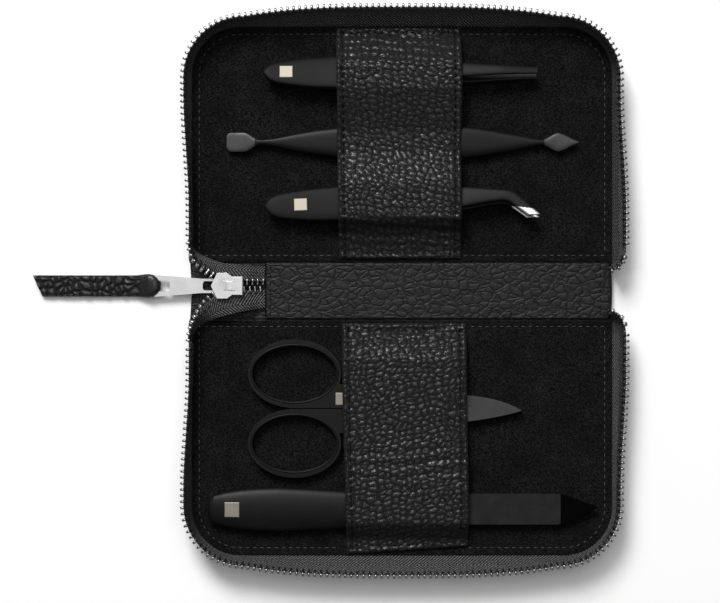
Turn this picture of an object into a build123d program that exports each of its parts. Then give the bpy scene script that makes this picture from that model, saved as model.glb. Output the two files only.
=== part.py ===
# Zip-around manicure case, lying open and flat, with five steel tools held under two leather bands.
#
# The spine runs along X and the two halves lie at +Y (upper) and -Y (lower) of it. The origin is the
# middle of the spine's outer face, the face that the open case rests on, and +Z points out of the
# linings. Each half folds up through 90 degrees about its crease, a line along X at the height of the
# lining's face, so that the two rows of zip teeth meet over the middle of the spine.
#
# Layers of a half, from the floor up: outer leather, stiffening board with the sewn foot of the zip
# tape round it, lining. The tape stands up round the lining as a leaning wall that carries the teeth.

from build123d import *
import math
import os

# ------------------------------------------------------------------ case: driving sizes, mm
inside_length = 140.0       # lining, along the spine
inside_width = 78.5         # lining of one half, from the crease to the far edge
spine_width = 19.0          # between the creases, and so the closed case's inside height
corner_r = 12.0             # far corners of the lining
leather_t = 1.2
board_t = 0.8
lining_t = 0.5
leather_reach = 1.3         # outer leather past the lining's edge
leather_bevel = 0.4         # turned edge of the outer leather
crease_gap = 0.15           # each side of a crease line
spine_end_inset = 0.8       # spine leather ends this much inside the linings' ends
spine_end_bow = 0.6
patch_t = 0.9               # inner leather strip that covers the spine
patch_start = 24.3          # bare spine left of the strip, where the zip's closed end is sewn in
patch_edge_gap = 0.3
board_inset = 4.3           # spine board behind the strip's left edge

# ------------------------------------------------------------------ zip: driving sizes, mm
tape_t = 0.7
tape_seat = 0.9             # tape's outer face past the lining's edge, at its foot
tape_foot = 3.0             # sewn part of the tape under the lining
foot_gap = 0.2              # between the board's edge and the tape's foot
lean_left = 1.8             # how far the wall leans out by its top edge
lean_right = 4.0
lean_far = 1.9              # the same at the far corners
far_bow = 3.9               # and this much more at the middle of the far side
zip_corner_r = 14.0
tail_start = 7.5            # the left wall stops this far from the crease and becomes the zip's tail
tooth_pitch = 2.0
tooth_w = 0.8               # along the tape
tooth_t = 2.3               # across the tape
tooth_h = 2.0
tooth_taper = 7.0           # degrees
tooth_engage = 0.9          # a tooth's tip past the line where the two rows meet
stop_l = 1.8                # top stop at the right end of each row
stop_h = 0.9

# ------------------------------------------------------------------ slider, pull and tab, mm
slider_nose_x = -63.3
slider_y = 1.7
slider_l = 10.5
wing_half = 4.3
waist_half = 3.05
wing_start = 2.0            # from the nose
wing_end = 5.4
waist_start = 7.1
plate_t = 0.8
channel_h = 2.6             # between the two plates
flange_t = 0.6
flange_h = 0.75
post_l = 4.0
post_half = 0.9
post_wide = 1.6             # where the post is widest, from the nose
roof_h = 0.35               # low ridge on the plain inner plate
bridge_gap = 1.6            # under the outer plate, for the pull's end bar
bridge_t = 0.9
bridge_w = 2.2
bridge_start = 1.3          # from the nose
tape_half_w = 7.1           # the two tapes side by side, each side of the slider's middle
chain_half = 1.9            # tape edges apart in the closed chain, each side of its middle
mouth_half = 3.7            # the same where the rows enter the slider
slit = 0.15                 # between neighbouring parts of the tape
tail_tooth_gap = 0.3        # the tail's teeth stand this far off its twisted edge
bridge_l = 6.6
bridge_lift = 0.3           # clear of the spine leather below
pull_t = 1.2
pull_root_w = 4.8
pull_end_w = 7.3
pull_l = 23.4               # from the pivot to the far end
pull_root_bar = 1.4
pull_slot_l = 5.4
pull_slot_w = 3.1
pull_window_l = 4.4
pull_window_w = 3.7
pull_end_bar = 1.8
tab_t = 1.15                # one layer of the folded leather tab
tab_bore_r = 1.25           # loop round the pull's end bar
tab_w = 7.3
tab_neck_w = 3.4
tab_knot_w = 6.8
tab_l = 40.4                # from the loop's axis to the cut end
tab_cut = 3.2               # the cut end's slant
tab_lift = 0.1              # clear of the floor

# ------------------------------------------------------------------ bands, mm
band_t = 1.2
band_w = 41.0
band_foot = 2.8             # flat stitched end
band_near_gap = 1.2         # from the crease
band_far_gap = 0.3          # from the lining's far edge
band_slack = 0.4            # over the tools
band_bend_r = 2.5
scissors_swing = 2.6        # boss radii towards the spine that the band stays clear of, for opening
handle_crown = 0.385        # share of the handle's width that the band lies on, to each side
open_past = 2.0             # a cut through an open end starts this far past it
upper_band_x = -1.0         # middle of each band
lower_band_x = 0.8
band_skew = 1.2             # the left edge runs this much askew
lower_band_slant = 2.6      # the lower band's far end is cut this much askew

# ------------------------------------------------------------------ tools, mm
tool_lift = 0.3             # clear of the lining
bar_edge_points = 6         # corners round each edge of a bar's section
arm_gap = 0.15              # between a spring arm's root and its fixed partner
arm_split = 0.1             # between the two arms where they leave the weld

tweezers_x = -45.7          # rear end
tweezers_from_far = 15.9    # axis to the lining's far edge
tweezers_l = 90.4
tweezers_roll = 18.0        # degrees, lying on one edge
tweezers_spread = 5.8       # middle to middle of the arms at their widest
angled_x = -45.2
angled_from_near = 18.3     # rear end's middle to the crease
angled_turn = 2.4           # degrees, askew to the spine
angled_l = 90.7
angled_roll = 13.0
angled_spread = 4.9
arm_t = 1.2
arm_tip_t = 0.8
arm_half_w = 5.75
arm_rear_half = 2.7
weld_l = 15.0
slant_tip_half = 1.15
bent_tip_w = 4.6
bent_tip_reach = 7.0        # sideways reach of the angled tips
bent_start = 80.5           # from the rear end
bent_half = 1.6

cuticle_x = -58.3
cuticle_from_near = 39.9
cuticle_l = 117.3
cuticle_w = 10.7
cuticle_t = 3.8
cuticle_neck = 1.8
cuticle_swell = 0.36        # share of the body's length in which it swells to its full size
cuticle_early = 0.85        # below 1, it swells sooner
bar_stations = 14           # cross-sections along the bar
spade_l = 8.6
spade_w = 6.4
lancet_l = 11.4
lancet_w = 6.3
blade_t = 0.9

scissors_x = 14.3           # pivot
scissors_from_near = 29.5   # seam between the two halves to the crease
loop_x = -50.0              # loops' middle, from the pivot
loop_l = 31.0
loop_w = 22.8
loop_wall = 2.2
loop_t = 3.0
half_gap = 0.06             # between the two scissor halves where they lie on each other
seam_gap = 0.15             # between their shanks and loops
shank_w = 4.2
boss_r = 6.2
cutting_l = 25.5            # pivot to tip
cutting_root_w = 4.9
screw_r = 1.5
screw_head_r = 2.7
screw_head_h = 0.7
screw_clear = 0.05

file_x = -64.4
file_from_far = 15.6
handle_l = 63.0
handle_w = 15.0
handle_t = 4.8
handle_front_w = 10.8
file_l = 129.5
file_w = 10.2
file_t = 1.0
file_point_l = 13.5
file_tang = 14.0            # blade inside the handle

# ------------------------------------------------------------------ worked out from the sizes
half_l = inside_length / 2
crease = spine_width / 2
far = crease + inside_width
near = crease + crease_gap
layer_z = leather_t                      # board and tape foot lie on the leather
lining_z = leather_t + board_t
fold_z = lining_z + lining_t             # lining's face, and height of the crease axes
meet_z = fold_z + crease                 # the teeth rows meet at this height
tape_top = meet_z - tooth_h + tooth_engage
tail_y = crease + tail_start
tool_z = fold_z + tool_lift


def half_plan(grow, near_y):
    """Plan of one half at the lining: square at the crease, rounded at the far corners."""
    side = half_l + grow
    with BuildSketch() as plan:
        with BuildLine():
            Polyline((-side, near_y), (-side, far + grow), (side, far + grow), (side, near_y), close=True)
        make_face()
        fillet(plan.vertices().group_by(Axis.Y)[-1], corner_r + grow)
    return plan.sketch


def zip_plan(grow, near_y):
    """Plan of the tape's top edge: the same outline leaned outwards, with its far side bowed."""
    left = -half_l - lean_left - grow
    right = half_l + lean_right + grow
    top = far + lean_far + grow
    with BuildSketch() as plan:
        with BuildLine():
            Line((left, near_y), (left, top))
            ThreePointArc((left, top), ((left + right) / 2, top + far_bow), (right, top))
            Line((right, top), (right, near_y))
            Line((right, near_y), (left, near_y))
        make_face()
        fillet(plan.vertices().group_by(Axis.Y)[-1], zip_corner_r + grow)
    return plan.sketch


def finish(build, name, side=1):
    """Label a piece, mirror it for the lower half, and write its file."""
    piece = build.part if side > 0 else build.part.mirror(Plane.XZ)
    piece.label = name
    export_step(piece, f"parts/{name}.step")
    return piece


os.makedirs("parts", exist_ok=True)

# ------------------------------------------------------------------ spine
with BuildPart() as spine_leather:
    reach = half_l - spine_end_inset
    with BuildSketch():
        with BuildLine():
            Line((-reach, -crease + crease_gap), (reach, -crease + crease_gap))
            ThreePointArc(
                (reach, -crease + crease_gap), (reach + spine_end_bow, 0), (reach, crease - crease_gap)
            )
            Line((reach, crease - crease_gap), (-reach, crease - crease_gap))
            ThreePointArc(
                (-reach, crease - crease_gap), (-reach - spine_end_bow, 0), (-reach, -crease + crease_gap)
            )
        make_face()
    extrude(amount=leather_t)
finish(spine_leather, "spine_leather")

patch_left = -half_l + patch_start
patch_half = crease - crease_gap
with BuildPart() as spine_board:
    board_left = patch_left + board_inset
    board_right = half_l - patch_edge_gap - leather_t
    with BuildSketch(Plane.XY.offset(layer_z)):
        with Locations(((board_left + board_right) / 2, 0)):
            Rectangle(board_right - board_left, 2 * patch_half - 2 * leather_t)
    extrude(amount=board_t)
finish(spine_board, "spine_board")

with BuildPart() as spine_patch:
    with BuildSketch(Plane.XY.offset(lining_z)):
        with Locations(((patch_left + half_l) / 2, 0)):
            Rectangle(half_l - patch_left, 2 * patch_half)
    extrude(amount=patch_t)
    fillet(spine_patch.faces().sort_by(Axis.Z)[-1].edges(), patch_t / 2)
finish(spine_patch, "spine_patch")


# ------------------------------------------------------------------ zip slider
plate_z = leather_t + bridge_lift + bridge_t + bridge_gap    # underside of the outer plate
channel_z = plate_z + plate_t
chain_z = channel_z + channel_h / 2                          # middle of the tape in the channel
inner_plate_z = channel_z + channel_h


def slider_outline(trim=0.0):
    """Plan of the slider's plates: pointed nose, wings, and a narrower tail."""
    tail = slider_l - trim
    with BuildSketch() as plan:
        with BuildLine():
            Polyline(
                (0, 0), (wing_start, wing_half), (wing_end, wing_half), (waist_start, waist_half),
                (tail, waist_half), (tail, -waist_half), (waist_start, -waist_half),
                (wing_end, -wing_half), (wing_start, -wing_half), close=True,
            )
        make_face()
    return plan.sketch


with BuildPart() as slider_body:
    nose = Plane.XY.offset(plate_z)
    nose.origin += Vector(slider_nose_x, slider_y, 0)
    with BuildSketch(nose):
        add(slider_outline())
    extrude(amount=plate_t)
    with BuildSketch(nose.offset(plate_t + channel_h)):
        add(slider_outline())
    extrude(amount=plate_t)
    with BuildSketch(nose.offset(plate_t), nose.offset(plate_t + channel_h - flange_h)):
        add(slider_outline())
        with Locations((slider_l / 2 + wing_start, 0)):
            Rectangle(slider_l, 2 * (waist_half - flange_t), mode=Mode.SUBTRACT)
        with Locations((wing_end - slider_l / 2, 0)):
            Rectangle(slider_l, 3 * wing_half, mode=Mode.SUBTRACT)
        with Locations((wing_end / 2 + waist_start / 2, 0)):
            Rectangle(waist_start - wing_end, 2 * (wing_half - flange_t), mode=Mode.SUBTRACT)
    extrude(amount=flange_h)
    with BuildSketch(nose.offset(plate_t)):
        with BuildLine():
            Polyline((0.3, 0), (post_wide, post_half), (post_l, 0), (post_wide, -post_half), close=True)
        make_face()
    extrude(amount=channel_h)
    side_view = Plane.XZ.offset(-slider_y)
    side_view.origin += Vector(slider_nose_x, 0, 0)
    with BuildSketch(side_view):
        edge_z = inner_plate_z + plate_t / 2
        ridge_z = inner_plate_z + plate_t + roof_h
        with BuildLine():
            Polyline(
                (wing_start, edge_z), (wing_end, ridge_z), (waist_start, ridge_z), (slider_l, edge_z),
                close=True,
            )
        make_face()
    extrude(amount=waist_half / 2, both=True)
    with BuildSketch(side_view):
        low = plate_z - bridge_gap
        left, right = bridge_start, bridge_start + bridge_l
        with BuildLine():
            Polyline(
                (left, plate_z), (left + bridge_t, plate_z), (left + bridge_t, low),
                (right - bridge_t, low), (right - bridge_t, plate_z), (right, plate_z),
                (right, low), (right - bridge_t, low - bridge_t), (left + bridge_t, low - bridge_t),
                (left, low), close=True,
            )
        make_face()
    extrude(amount=bridge_w / 2, both=True)
finish(slider_body, "slider_body")

# ------------------------------------------------------------------ closed end and tails of the zip
slider_tail_x = slider_nose_x + slider_l
split_x = slider_nose_x + waist_start + flange_t             # tails begin here, inside the slider
mouth_x = slider_nose_x + wing_start / 2
sewn_z = layer_z + board_t / 2


def tape_section(inner, outer, ahead):
    """Cross-section of the tape from its toothed edge to its sewn edge, facing along the zip."""
    run = outer - inner
    with BuildSketch(Plane((inner + outer) / 2, run, ahead)) as section:
        Rectangle(run.length, tape_t)
    return section.sketch.face()


def tooth_places(start, end, count, shift, gap=0.0):
    """Places of teeth on the toothed edge between two (toothed edge, sewn edge) pairs of points."""
    places = []
    for i in range(count):
        share = (i + shift) / count
        edge = start[0] + (end[0] - start[0]) * share
        sewn = start[1] + (end[1] - start[1]) * share
        out = (edge - sewn).normalized()
        along = (end[0] - start[0]).normalized()
        places.append(Plane(edge + out * gap, along - out * along.dot(out), out))
    return places


with BuildPart() as zip_end_tape:
    across = Vector(0, 2 * tape_half_w, 0)
    corners = [
        Vector(x, slider_y - tape_half_w, z) for x, z in (
            (split_x + slit, chain_z), (slider_tail_x + slit, chain_z), (patch_left - slit, sewn_z),
            (patch_left + board_inset - slit, sewn_z),
        )
    ]
    loft([tape_section(corner, corner + across, Vector(1, 0, 0)) for corner in corners], ruled=True)
    with BuildSketch(Plane.XY):
        with Locations(((split_x + patch_left) / 2 - slit, slider_y)):
            Rectangle(patch_left - split_x, 2 * chain_half)
    extrude(amount=2 * chain_z, mode=Mode.SUBTRACT)
finish(zip_end_tape, "zip_end_tape")

with BuildPart() as zip_end_teeth:
    slope_start = slider_tail_x + slit
    for side, shift in ((1, 0.25), (-1, 0.75)):
        rows = (
            (Vector(split_x + slit, 0, chain_z), Vector(slope_start, 0, chain_z)),
            (Vector(slope_start, 0, chain_z), Vector(patch_left - tooth_w, 0, sewn_z + tooth_t / 2)),
        )
        inner = Vector(0, slider_y + side * chain_half, 0)
        outer = Vector(0, slider_y + side * tape_half_w, 0)
        for start, end in rows:
            count = int((end - start).length // tooth_pitch)
            ends = (start + inner, start + outer), (end + inner, end + outer)
            with BuildSketch(*tooth_places(*ends, count, shift)):
                Rectangle(tooth_w, tooth_t)
            extrude(amount=tooth_h, taper=tooth_taper)
finish(zip_end_teeth, "zip_end_teeth")


def make_tail(side, name):
    """The stretch of tape from the slider to the left wall of a half. It turns from flat to upright."""
    flat = Vector(0, side, 0)
    middle = Vector(0, slider_y, chain_z)
    inside = (
        middle + Vector(split_x, 0, 0) + flat * chain_half,
        middle + Vector(split_x, 0, 0) + flat * tape_half_w,
    )
    mouth = (
        middle + Vector(mouth_x, 0, 0) + flat * mouth_half,
        middle + Vector(mouth_x, 0, 0) + flat * (tape_half_w + slit),
    )
    wall = (
        Vector(-half_l - lean_left, side * (tail_y - slit), tape_top - tape_t / 2),
        Vector(-half_l - tape_seat / 2, side * (tail_y - slit), fold_z + tape_t / 2 + slit),
    )
    sections = [tape_section(*inside, Vector(-1, 0, 0)), tape_section(*mouth, Vector(-1, 0, 0))]
    for share in (0.5, 1.0):
        edge = mouth[0] + (wall[0] - mouth[0]) * share
        sewn = mouth[1] + (wall[1] - mouth[1]) * share
        run = (sewn - edge).normalized()
        turned = Vector(-1 + share, share * side, 0)
        sections.append(tape_section(edge, sewn, turned - run * turned.dot(run)))
    with BuildPart() as tail:
        loft(sections, ruled=True)
    finish(tail, f"{name}_zip_tail")
    with BuildPart() as teeth:
        for start, end in ((inside, mouth), (mouth, wall)):
            count = int((end[0] - start[0]).length // tooth_pitch)
            shift = 0.25 if side > 0 else 0.75
            with BuildSketch(*tooth_places(start, end, count, shift, tail_tooth_gap)):
                Rectangle(tooth_w, tooth_t)
            extrude(amount=tooth_h - 2 * tail_tooth_gap, taper=tooth_taper)
    finish(teeth, f"{name}_tail_teeth")


for side, name in ((1, "upper"), (-1, "lower")):
    make_tail(side, name)

# ------------------------------------------------------------------ pull and its leather tab
pivot_x = slider_nose_x + bridge_start + bridge_t + pull_root_bar / 2 + 0.2
pivot_z = plate_z - bridge_gap / 2
loop_out_r = tab_bore_r + tab_t
tab_z = tab_lift + loop_out_r                                # axis of the tab's loop
pull_reach = pull_l - pull_end_bar / 2
pull_dip = math.degrees(math.asin((pivot_z - tab_z) / pull_reach))
tab_x = pivot_x - math.sqrt(pull_reach ** 2 - (pivot_z - tab_z) ** 2)
with BuildPart() as zip_pull:
    down = math.radians(pull_dip)
    along = Vector(-math.cos(down), 0, -math.sin(down))
    up = Vector(-math.sin(down), 0, math.cos(down))
    with BuildSketch(Plane((pivot_x, slider_y, pivot_z), along, up)):
        root = -pull_root_bar / 2
        flare = pull_slot_l + 1
        shoulder = pull_l - pull_end_bar
        with BuildLine():
            Polyline(
                (root, pull_root_w / 2), (flare, pull_root_w / 2), (shoulder, pull_end_w / 2),
                (pull_l, pull_end_w / 2), (pull_l, -pull_end_w / 2), (shoulder, -pull_end_w / 2),
                (flare, -pull_root_w / 2), (root, -pull_root_w / 2), close=True,
            )
        make_face()
        with Locations((pull_root_bar / 2 + pull_slot_l / 2, 0)):
            RectangleRounded(pull_slot_l, pull_slot_w, pull_slot_w * 0.3, mode=Mode.SUBTRACT)
        with Locations((shoulder - pull_window_l / 2, 0)):
            RectangleRounded(pull_window_l, pull_window_w, pull_window_w * 0.15, mode=Mode.SUBTRACT)
    extrude(amount=pull_t / 2, both=True)
finish(zip_pull, "zip_pull")

with BuildPart() as pull_tab:
    with BuildSketch(Plane.XZ.offset(-slider_y)):
        with Locations((tab_x, tab_z)):
            Circle(loop_out_r)
        with Locations((tab_x - tab_l / 2, tab_lift + tab_t)):
            Rectangle(tab_l, 2 * tab_t)
        with Locations((tab_x, tab_z)):
            Circle(tab_bore_r, mode=Mode.SUBTRACT)
    extrude(amount=tab_w / 2, both=True)
    tab_plan = Plane.XY
    tab_plan.origin += Vector(tab_x, slider_y, 0)
    with BuildSketch(tab_plan):
        with BuildLine():
            Polyline(
                (loop_out_r, tab_neck_w / 2), (-tab_bore_r / 2, tab_neck_w / 2),
                (-tab_bore_r / 2, tab_knot_w / 2), (-loop_out_r, tab_w / 2), (-tab_l, tab_w / 2),
                (tab_cut - tab_l, -tab_w / 2), (-loop_out_r, -tab_w / 2), (-tab_bore_r / 2, -tab_knot_w / 2),
                (-tab_bore_r / 2, -tab_neck_w / 2), (loop_out_r, -tab_neck_w / 2), close=True,
            )
        make_face()
    extrude(amount=3 * loop_out_r, mode=Mode.INTERSECT)
finish(pull_tab, "pull_tab")
print("pull pivot", round(pivot_x, 3), round(pivot_z, 3), "tab axis", round(tab_x, 3), round(tab_z, 3))

# ------------------------------------------------------------------ the two halves of the case
def make_leather(side, name):
    with BuildPart() as leather:
        with BuildSketch():
            add(half_plan(leather_reach, near))
        extrude(amount=leather_t)
        rim = leather.edges().group_by(Axis.Z)[0].filter_by(lambda e: e.center().Y > near + 1)
        chamfer(rim, leather_bevel)
    finish(leather, f"{name}_leather", side)


def make_board(side, name):
    inset = tape_foot + foot_gap
    with BuildPart() as board:
        with BuildSketch(Plane.XY.offset(layer_z)):
            add(half_plan(-inset, near))
        extrude(amount=board_t)
    finish(board, f"{name}_board", side)


def make_lining(side, name):
    with BuildPart() as lining:
        with BuildSketch(Plane.XY.offset(lining_z)):
            add(half_plan(0, near))
        extrude(amount=lining_t)
    finish(lining, f"{name}_lining", side)


def make_tape(side, name):
    """Foot ring sewn under the lining, and the leaning wall that rises from it."""
    open_y = near - open_past
    with BuildPart() as tape:
        with BuildSketch(Plane.XY.offset(layer_z)):
            add(half_plan(tape_seat, near))
        with BuildSketch(Plane.XY.offset(tape_top)):
            add(zip_plan(tape_t / 2, near))
        loft(ruled=True)
        with BuildSketch(Plane.XY.offset(layer_z)):
            add(half_plan(tape_seat - tape_t, open_y))
        with BuildSketch(Plane.XY.offset(tape_top)):
            add(zip_plan(-tape_t / 2, open_y))
        loft(ruled=True, mode=Mode.SUBTRACT)
        with BuildSketch(Plane.XY.offset(lining_z)):
            with Locations((-half_l, (open_y + tail_y) / 2)):
                Rectangle(4 * (lean_left + tape_seat), tail_y - open_y)
        extrude(amount=tape_top, mode=Mode.SUBTRACT)
        with BuildSketch(Plane.XY.offset(layer_z)):
            add(half_plan(tape_seat - tape_t / 2, near))
            add(half_plan(-tape_foot, open_y), mode=Mode.SUBTRACT)
        extrude(amount=board_t)
    finish(tape, f"{name}_zip_tape", side)


def make_teeth(side, name):
    """A row of metal teeth on the tape's top edge. The two rows are half a pitch out of step."""
    rim = zip_plan(0, near)
    path = Wire(rim.edges().filter_by(lambda e: e.center().Y > near + 1))
    right_end = path.position_at(0).X > 0
    row = path.length - tail_start
    count = int((row - stop_l) // tooth_pitch) - 1
    shift = 0.5 if side > 0 else 1.0
    places = []
    for i in range(count):
        along = tail_start + (i + shift) * tooth_pitch
        share = 1 - along / path.length if right_end else along / path.length
        places.append(
            Plane(path.position_at(share) + Vector(0, 0, tape_top), path.tangent_at(share), (0, 0, 1))
        )
    with BuildPart() as teeth:
        with BuildSketch(*places):
            Rectangle(tooth_w, tooth_t)
        extrude(amount=tooth_h, taper=tooth_taper)
    finish(teeth, f"{name}_zip_teeth", side)
    with BuildPart() as stop:
        with BuildSketch(Plane.XY.offset(tape_top)):
            with Locations((half_l + lean_right, near + stop_l / 2 + crease_gap)):
                RectangleRounded(tooth_t, stop_l, tooth_w / 2)
        extrude(amount=stop_h)
    finish(stop, f"{name}_top_stop", side)
    print(name, "teeth", count, "row", round(row, 1))


def make_band(side, name, middle, far_slant, humps):
    """Leather band over the tools: flat stitched feet, and straight falls between the tools' edges.

    humps lists (y from, y to, height) of the tools that the band lies on, in order from the crease."""
    start = crease + band_near_gap
    end = far - band_far_gap
    low = [(start, 0), (start + band_foot, 0)]
    for y_from, y_to, height in humps:
        low += [(y_from, height), (y_to, height)]
    low += [(end - far_slant - band_foot, 0), (end, 0)]
    inner = [(y, fold_z + h) for y, h in low]
    outer = [(y, z + band_t) for y, z in inner]
    left, right = middle - band_w / 2, middle + band_w / 2
    with BuildPart() as band:
        with BuildSketch(Plane.YZ.offset(left - band_skew)):
            with BuildLine():
                FilletPolyline(inner, radius=band_bend_r)
                FilletPolyline(outer, radius=band_bend_r)
                Line(inner[0], outer[0])
                Line(inner[-1], outer[-1])
            make_face()
        extrude(amount=band_w + 2 * band_skew)
        with BuildSketch():
            with BuildLine():
                Polyline(
                    (left - band_skew / 2, start), (left + band_skew / 2, end),
                    (right, end - far_slant), (right, start), close=True,
                )
            make_face()
        extrude(amount=meet_z + band_t + fold_z, mode=Mode.INTERSECT)
    finish(band, f"{name}_band", side)


# ------------------------------------------------------------------ where the tools lie
tweezers_y = far - tweezers_from_far
angled_y = crease + angled_from_near
angled_mid_y = angled_y + math.sin(math.radians(angled_turn)) * angled_l / 2
cuticle_y = crease + cuticle_from_near
scissors_y = crease + scissors_from_near
file_y = far - file_from_far


def arm_height(spread, roll, half_width):
    """Height that a pair of spring arms takes when it lies rolled on one edge."""
    tilt = math.radians(roll)
    return (spread + arm_t) * math.cos(tilt) + 2 * half_width * math.sin(tilt)


arm_front_half = 0.55 * arm_half_w
tweezers_h = arm_height(tweezers_spread, tweezers_roll, arm_front_half)
angled_h = arm_height(angled_spread, angled_roll, 0.75 * arm_half_w)
scissors_h = loop_t + screw_head_h
slack = tool_lift + band_slack
upper_humps = [
    (angled_mid_y - arm_half_w, angled_mid_y + arm_half_w, angled_h + slack),
    (cuticle_y - cuticle_w / 3, cuticle_y + cuticle_w / 3, cuticle_t + slack),
    (tweezers_y - arm_half_w, tweezers_y + arm_half_w / 2, tweezers_h + slack),
]
lower_humps = [
    (scissors_y - scissors_swing * boss_r, scissors_y + boss_r, scissors_h + slack),
    (file_y - handle_crown * handle_w, file_y + handle_crown * handle_w, handle_t + slack),
]
for side, name in ((1, "upper"), (-1, "lower")):
    make_leather(side, name)
    make_board(side, name)
    make_lining(side, name)
    make_tape(side, name)
    make_teeth(side, name)
make_band(1, "upper", upper_band_x, 0.0, upper_humps)
make_band(-1, "lower", lower_band_x, lower_band_slant, lower_humps)


# ------------------------------------------------------------------ spring tweezers
def make_tweezers(name, x, y, turn, roll, spread, length, edge, tip):
    """Two sprung arms, welded at the rear.

    edge lists (along, half width) of an arm's plan from the rear, and tip the corners of what its plan
    goes on as, past the last of them."""
    tilt, heading = math.radians(roll), math.radians(turn)
    ahead = Vector(math.cos(heading), math.sin(heading), 0)
    across = Vector(-math.sin(heading), math.cos(heading), 0)
    up = across * math.sin(tilt) + Vector(0, 0, math.cos(tilt))
    root_w = (arm_t + arm_split) / 2
    low = (spread + arm_t) / 2 * math.cos(tilt) + arm_front_half * math.sin(tilt)
    origin = Vector(x, y, tool_z + low)
    flat = Plane(origin, ahead, up)
    upright = Plane(origin, ahead, ahead.cross(up))
    bow = [
        (weld_l, root_w), (0.45 * length, 0.33 * spread),
        (0.72 * length, 0.5 * spread), (length, 0.37 * spread),
    ]
    outer = [(u, w + arm_t / 2) for u, w in bow]
    inner = [(u, w - arm_t / 2) for u, w in bow[:-1]] + [(length, bow[-1][1] + arm_t / 2 - arm_tip_t)]
    for way, label in ((-1, f"{name}_lower_arm"), (1, f"{name}_upper_arm")):
        with BuildPart() as arm:
            with BuildSketch(upright):
                with BuildLine():
                    Spline([(u, way * w) for u, w in outer])
                    Spline([(u, way * w) for u, w in inner])
                    Line((outer[0][0], way * outer[0][1]), (inner[0][0], way * inner[0][1]))
                    Line((outer[-1][0], way * outer[-1][1]), (inner[-1][0], way * inner[-1][1]))
                make_face()
            extrude(amount=2 * arm_half_w, both=True)
            with BuildSketch(upright):
                with Locations(((weld_l + arm_gap) / 2, 0)):
                    Rectangle(weld_l + arm_gap, 4 * arm_t)
            extrude(amount=2 * arm_half_w, both=True, mode=Mode.SUBTRACT)
            if way < 0:
                with BuildSketch(upright):
                    with Locations((weld_l / 2, 0)):
                        Rectangle(weld_l, 2 * outer[0][1])
                    with Locations((weld_l / 2 + arm_gap, -(outer[0][1] + inner[0][1]) / 2)):
                        Rectangle(weld_l + arm_gap, arm_t)
                extrude(amount=2 * arm_half_w, both=True)
            with BuildSketch(flat):
                with BuildLine():
                    Spline(edge)
                    Spline([(u, -v) for u, v in edge])
                    ThreePointArc(edge[0], (0, 0), (edge[0][0], -edge[0][1]))
                    Line(edge[-1], (edge[-1][0], -edge[-1][1]))
                make_face()
                if tip:
                    with BuildLine():
                        Polyline(*tip, close=True)
                    make_face()
            extrude(amount=spread + arm_t, both=True, mode=Mode.INTERSECT)
        finish(arm, label)
    print(name, "weld axis", tuple(origin + ahead * (weld_l + arm_gap) + up * (arm_split / 2)))


slant_edge = [
    (1.6, arm_rear_half), (8.0, 0.77 * arm_half_w), (24.0, arm_half_w), (45.0, 0.78 * arm_half_w),
    (66.0, 0.42 * arm_half_w), (tweezers_l, slant_tip_half),
]
bent_edge = [
    (1.0, arm_rear_half), (8.0, 0.8 * arm_half_w), (24.0, arm_half_w), (45.0, 0.9 * arm_half_w),
    (66.0, 0.6 * arm_half_w), (bent_start, bent_half),
]
bent_tip = [
    (bent_start - 0.5, bent_half), (bent_start + 0.8, bent_half), (angled_l, -bent_tip_reach),
    (angled_l - bent_tip_w, -bent_tip_reach), (bent_start, -bent_half), (bent_start - 0.5, -bent_half),
]
make_tweezers(
    "tweezers", tweezers_x, tweezers_y, 0, tweezers_roll, tweezers_spread, tweezers_l, slant_edge, []
)
make_tweezers(
    "angled_tweezers", angled_x, angled_y, angled_turn, angled_roll, angled_spread, angled_l, bent_edge,
    bent_tip,
)

# ------------------------------------------------------------------ cuticle tool
cuticle_z = tool_z + cuticle_t / 2
neck_left = cuticle_x + spade_l
neck_right = cuticle_x + cuticle_l - lancet_l
body_l = neck_right - neck_left


def bar_section(wide, thick):
    """Section of a forged bar, flat above and below with rounded edges, as a polygon."""
    corners = []
    for side in (1, -1):
        for i in range(bar_edge_points):
            angle = math.pi * (0.5 - i / (bar_edge_points - 1))
            reach = wide / 2 - thick / 2 * (1 - math.cos(angle))
            corners.append((side * reach, side * thick / 2 * math.sin(angle)))
    return Polygon(*corners, align=None)


def swelling(share):
    """How far the bar has swollen from its neck, 0 to 1, at a share of its body's length."""
    rise = (min(share, 1 - share, cuticle_swell) / cuticle_swell) ** cuticle_early
    return rise * rise * (3 - 2 * rise)


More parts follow.
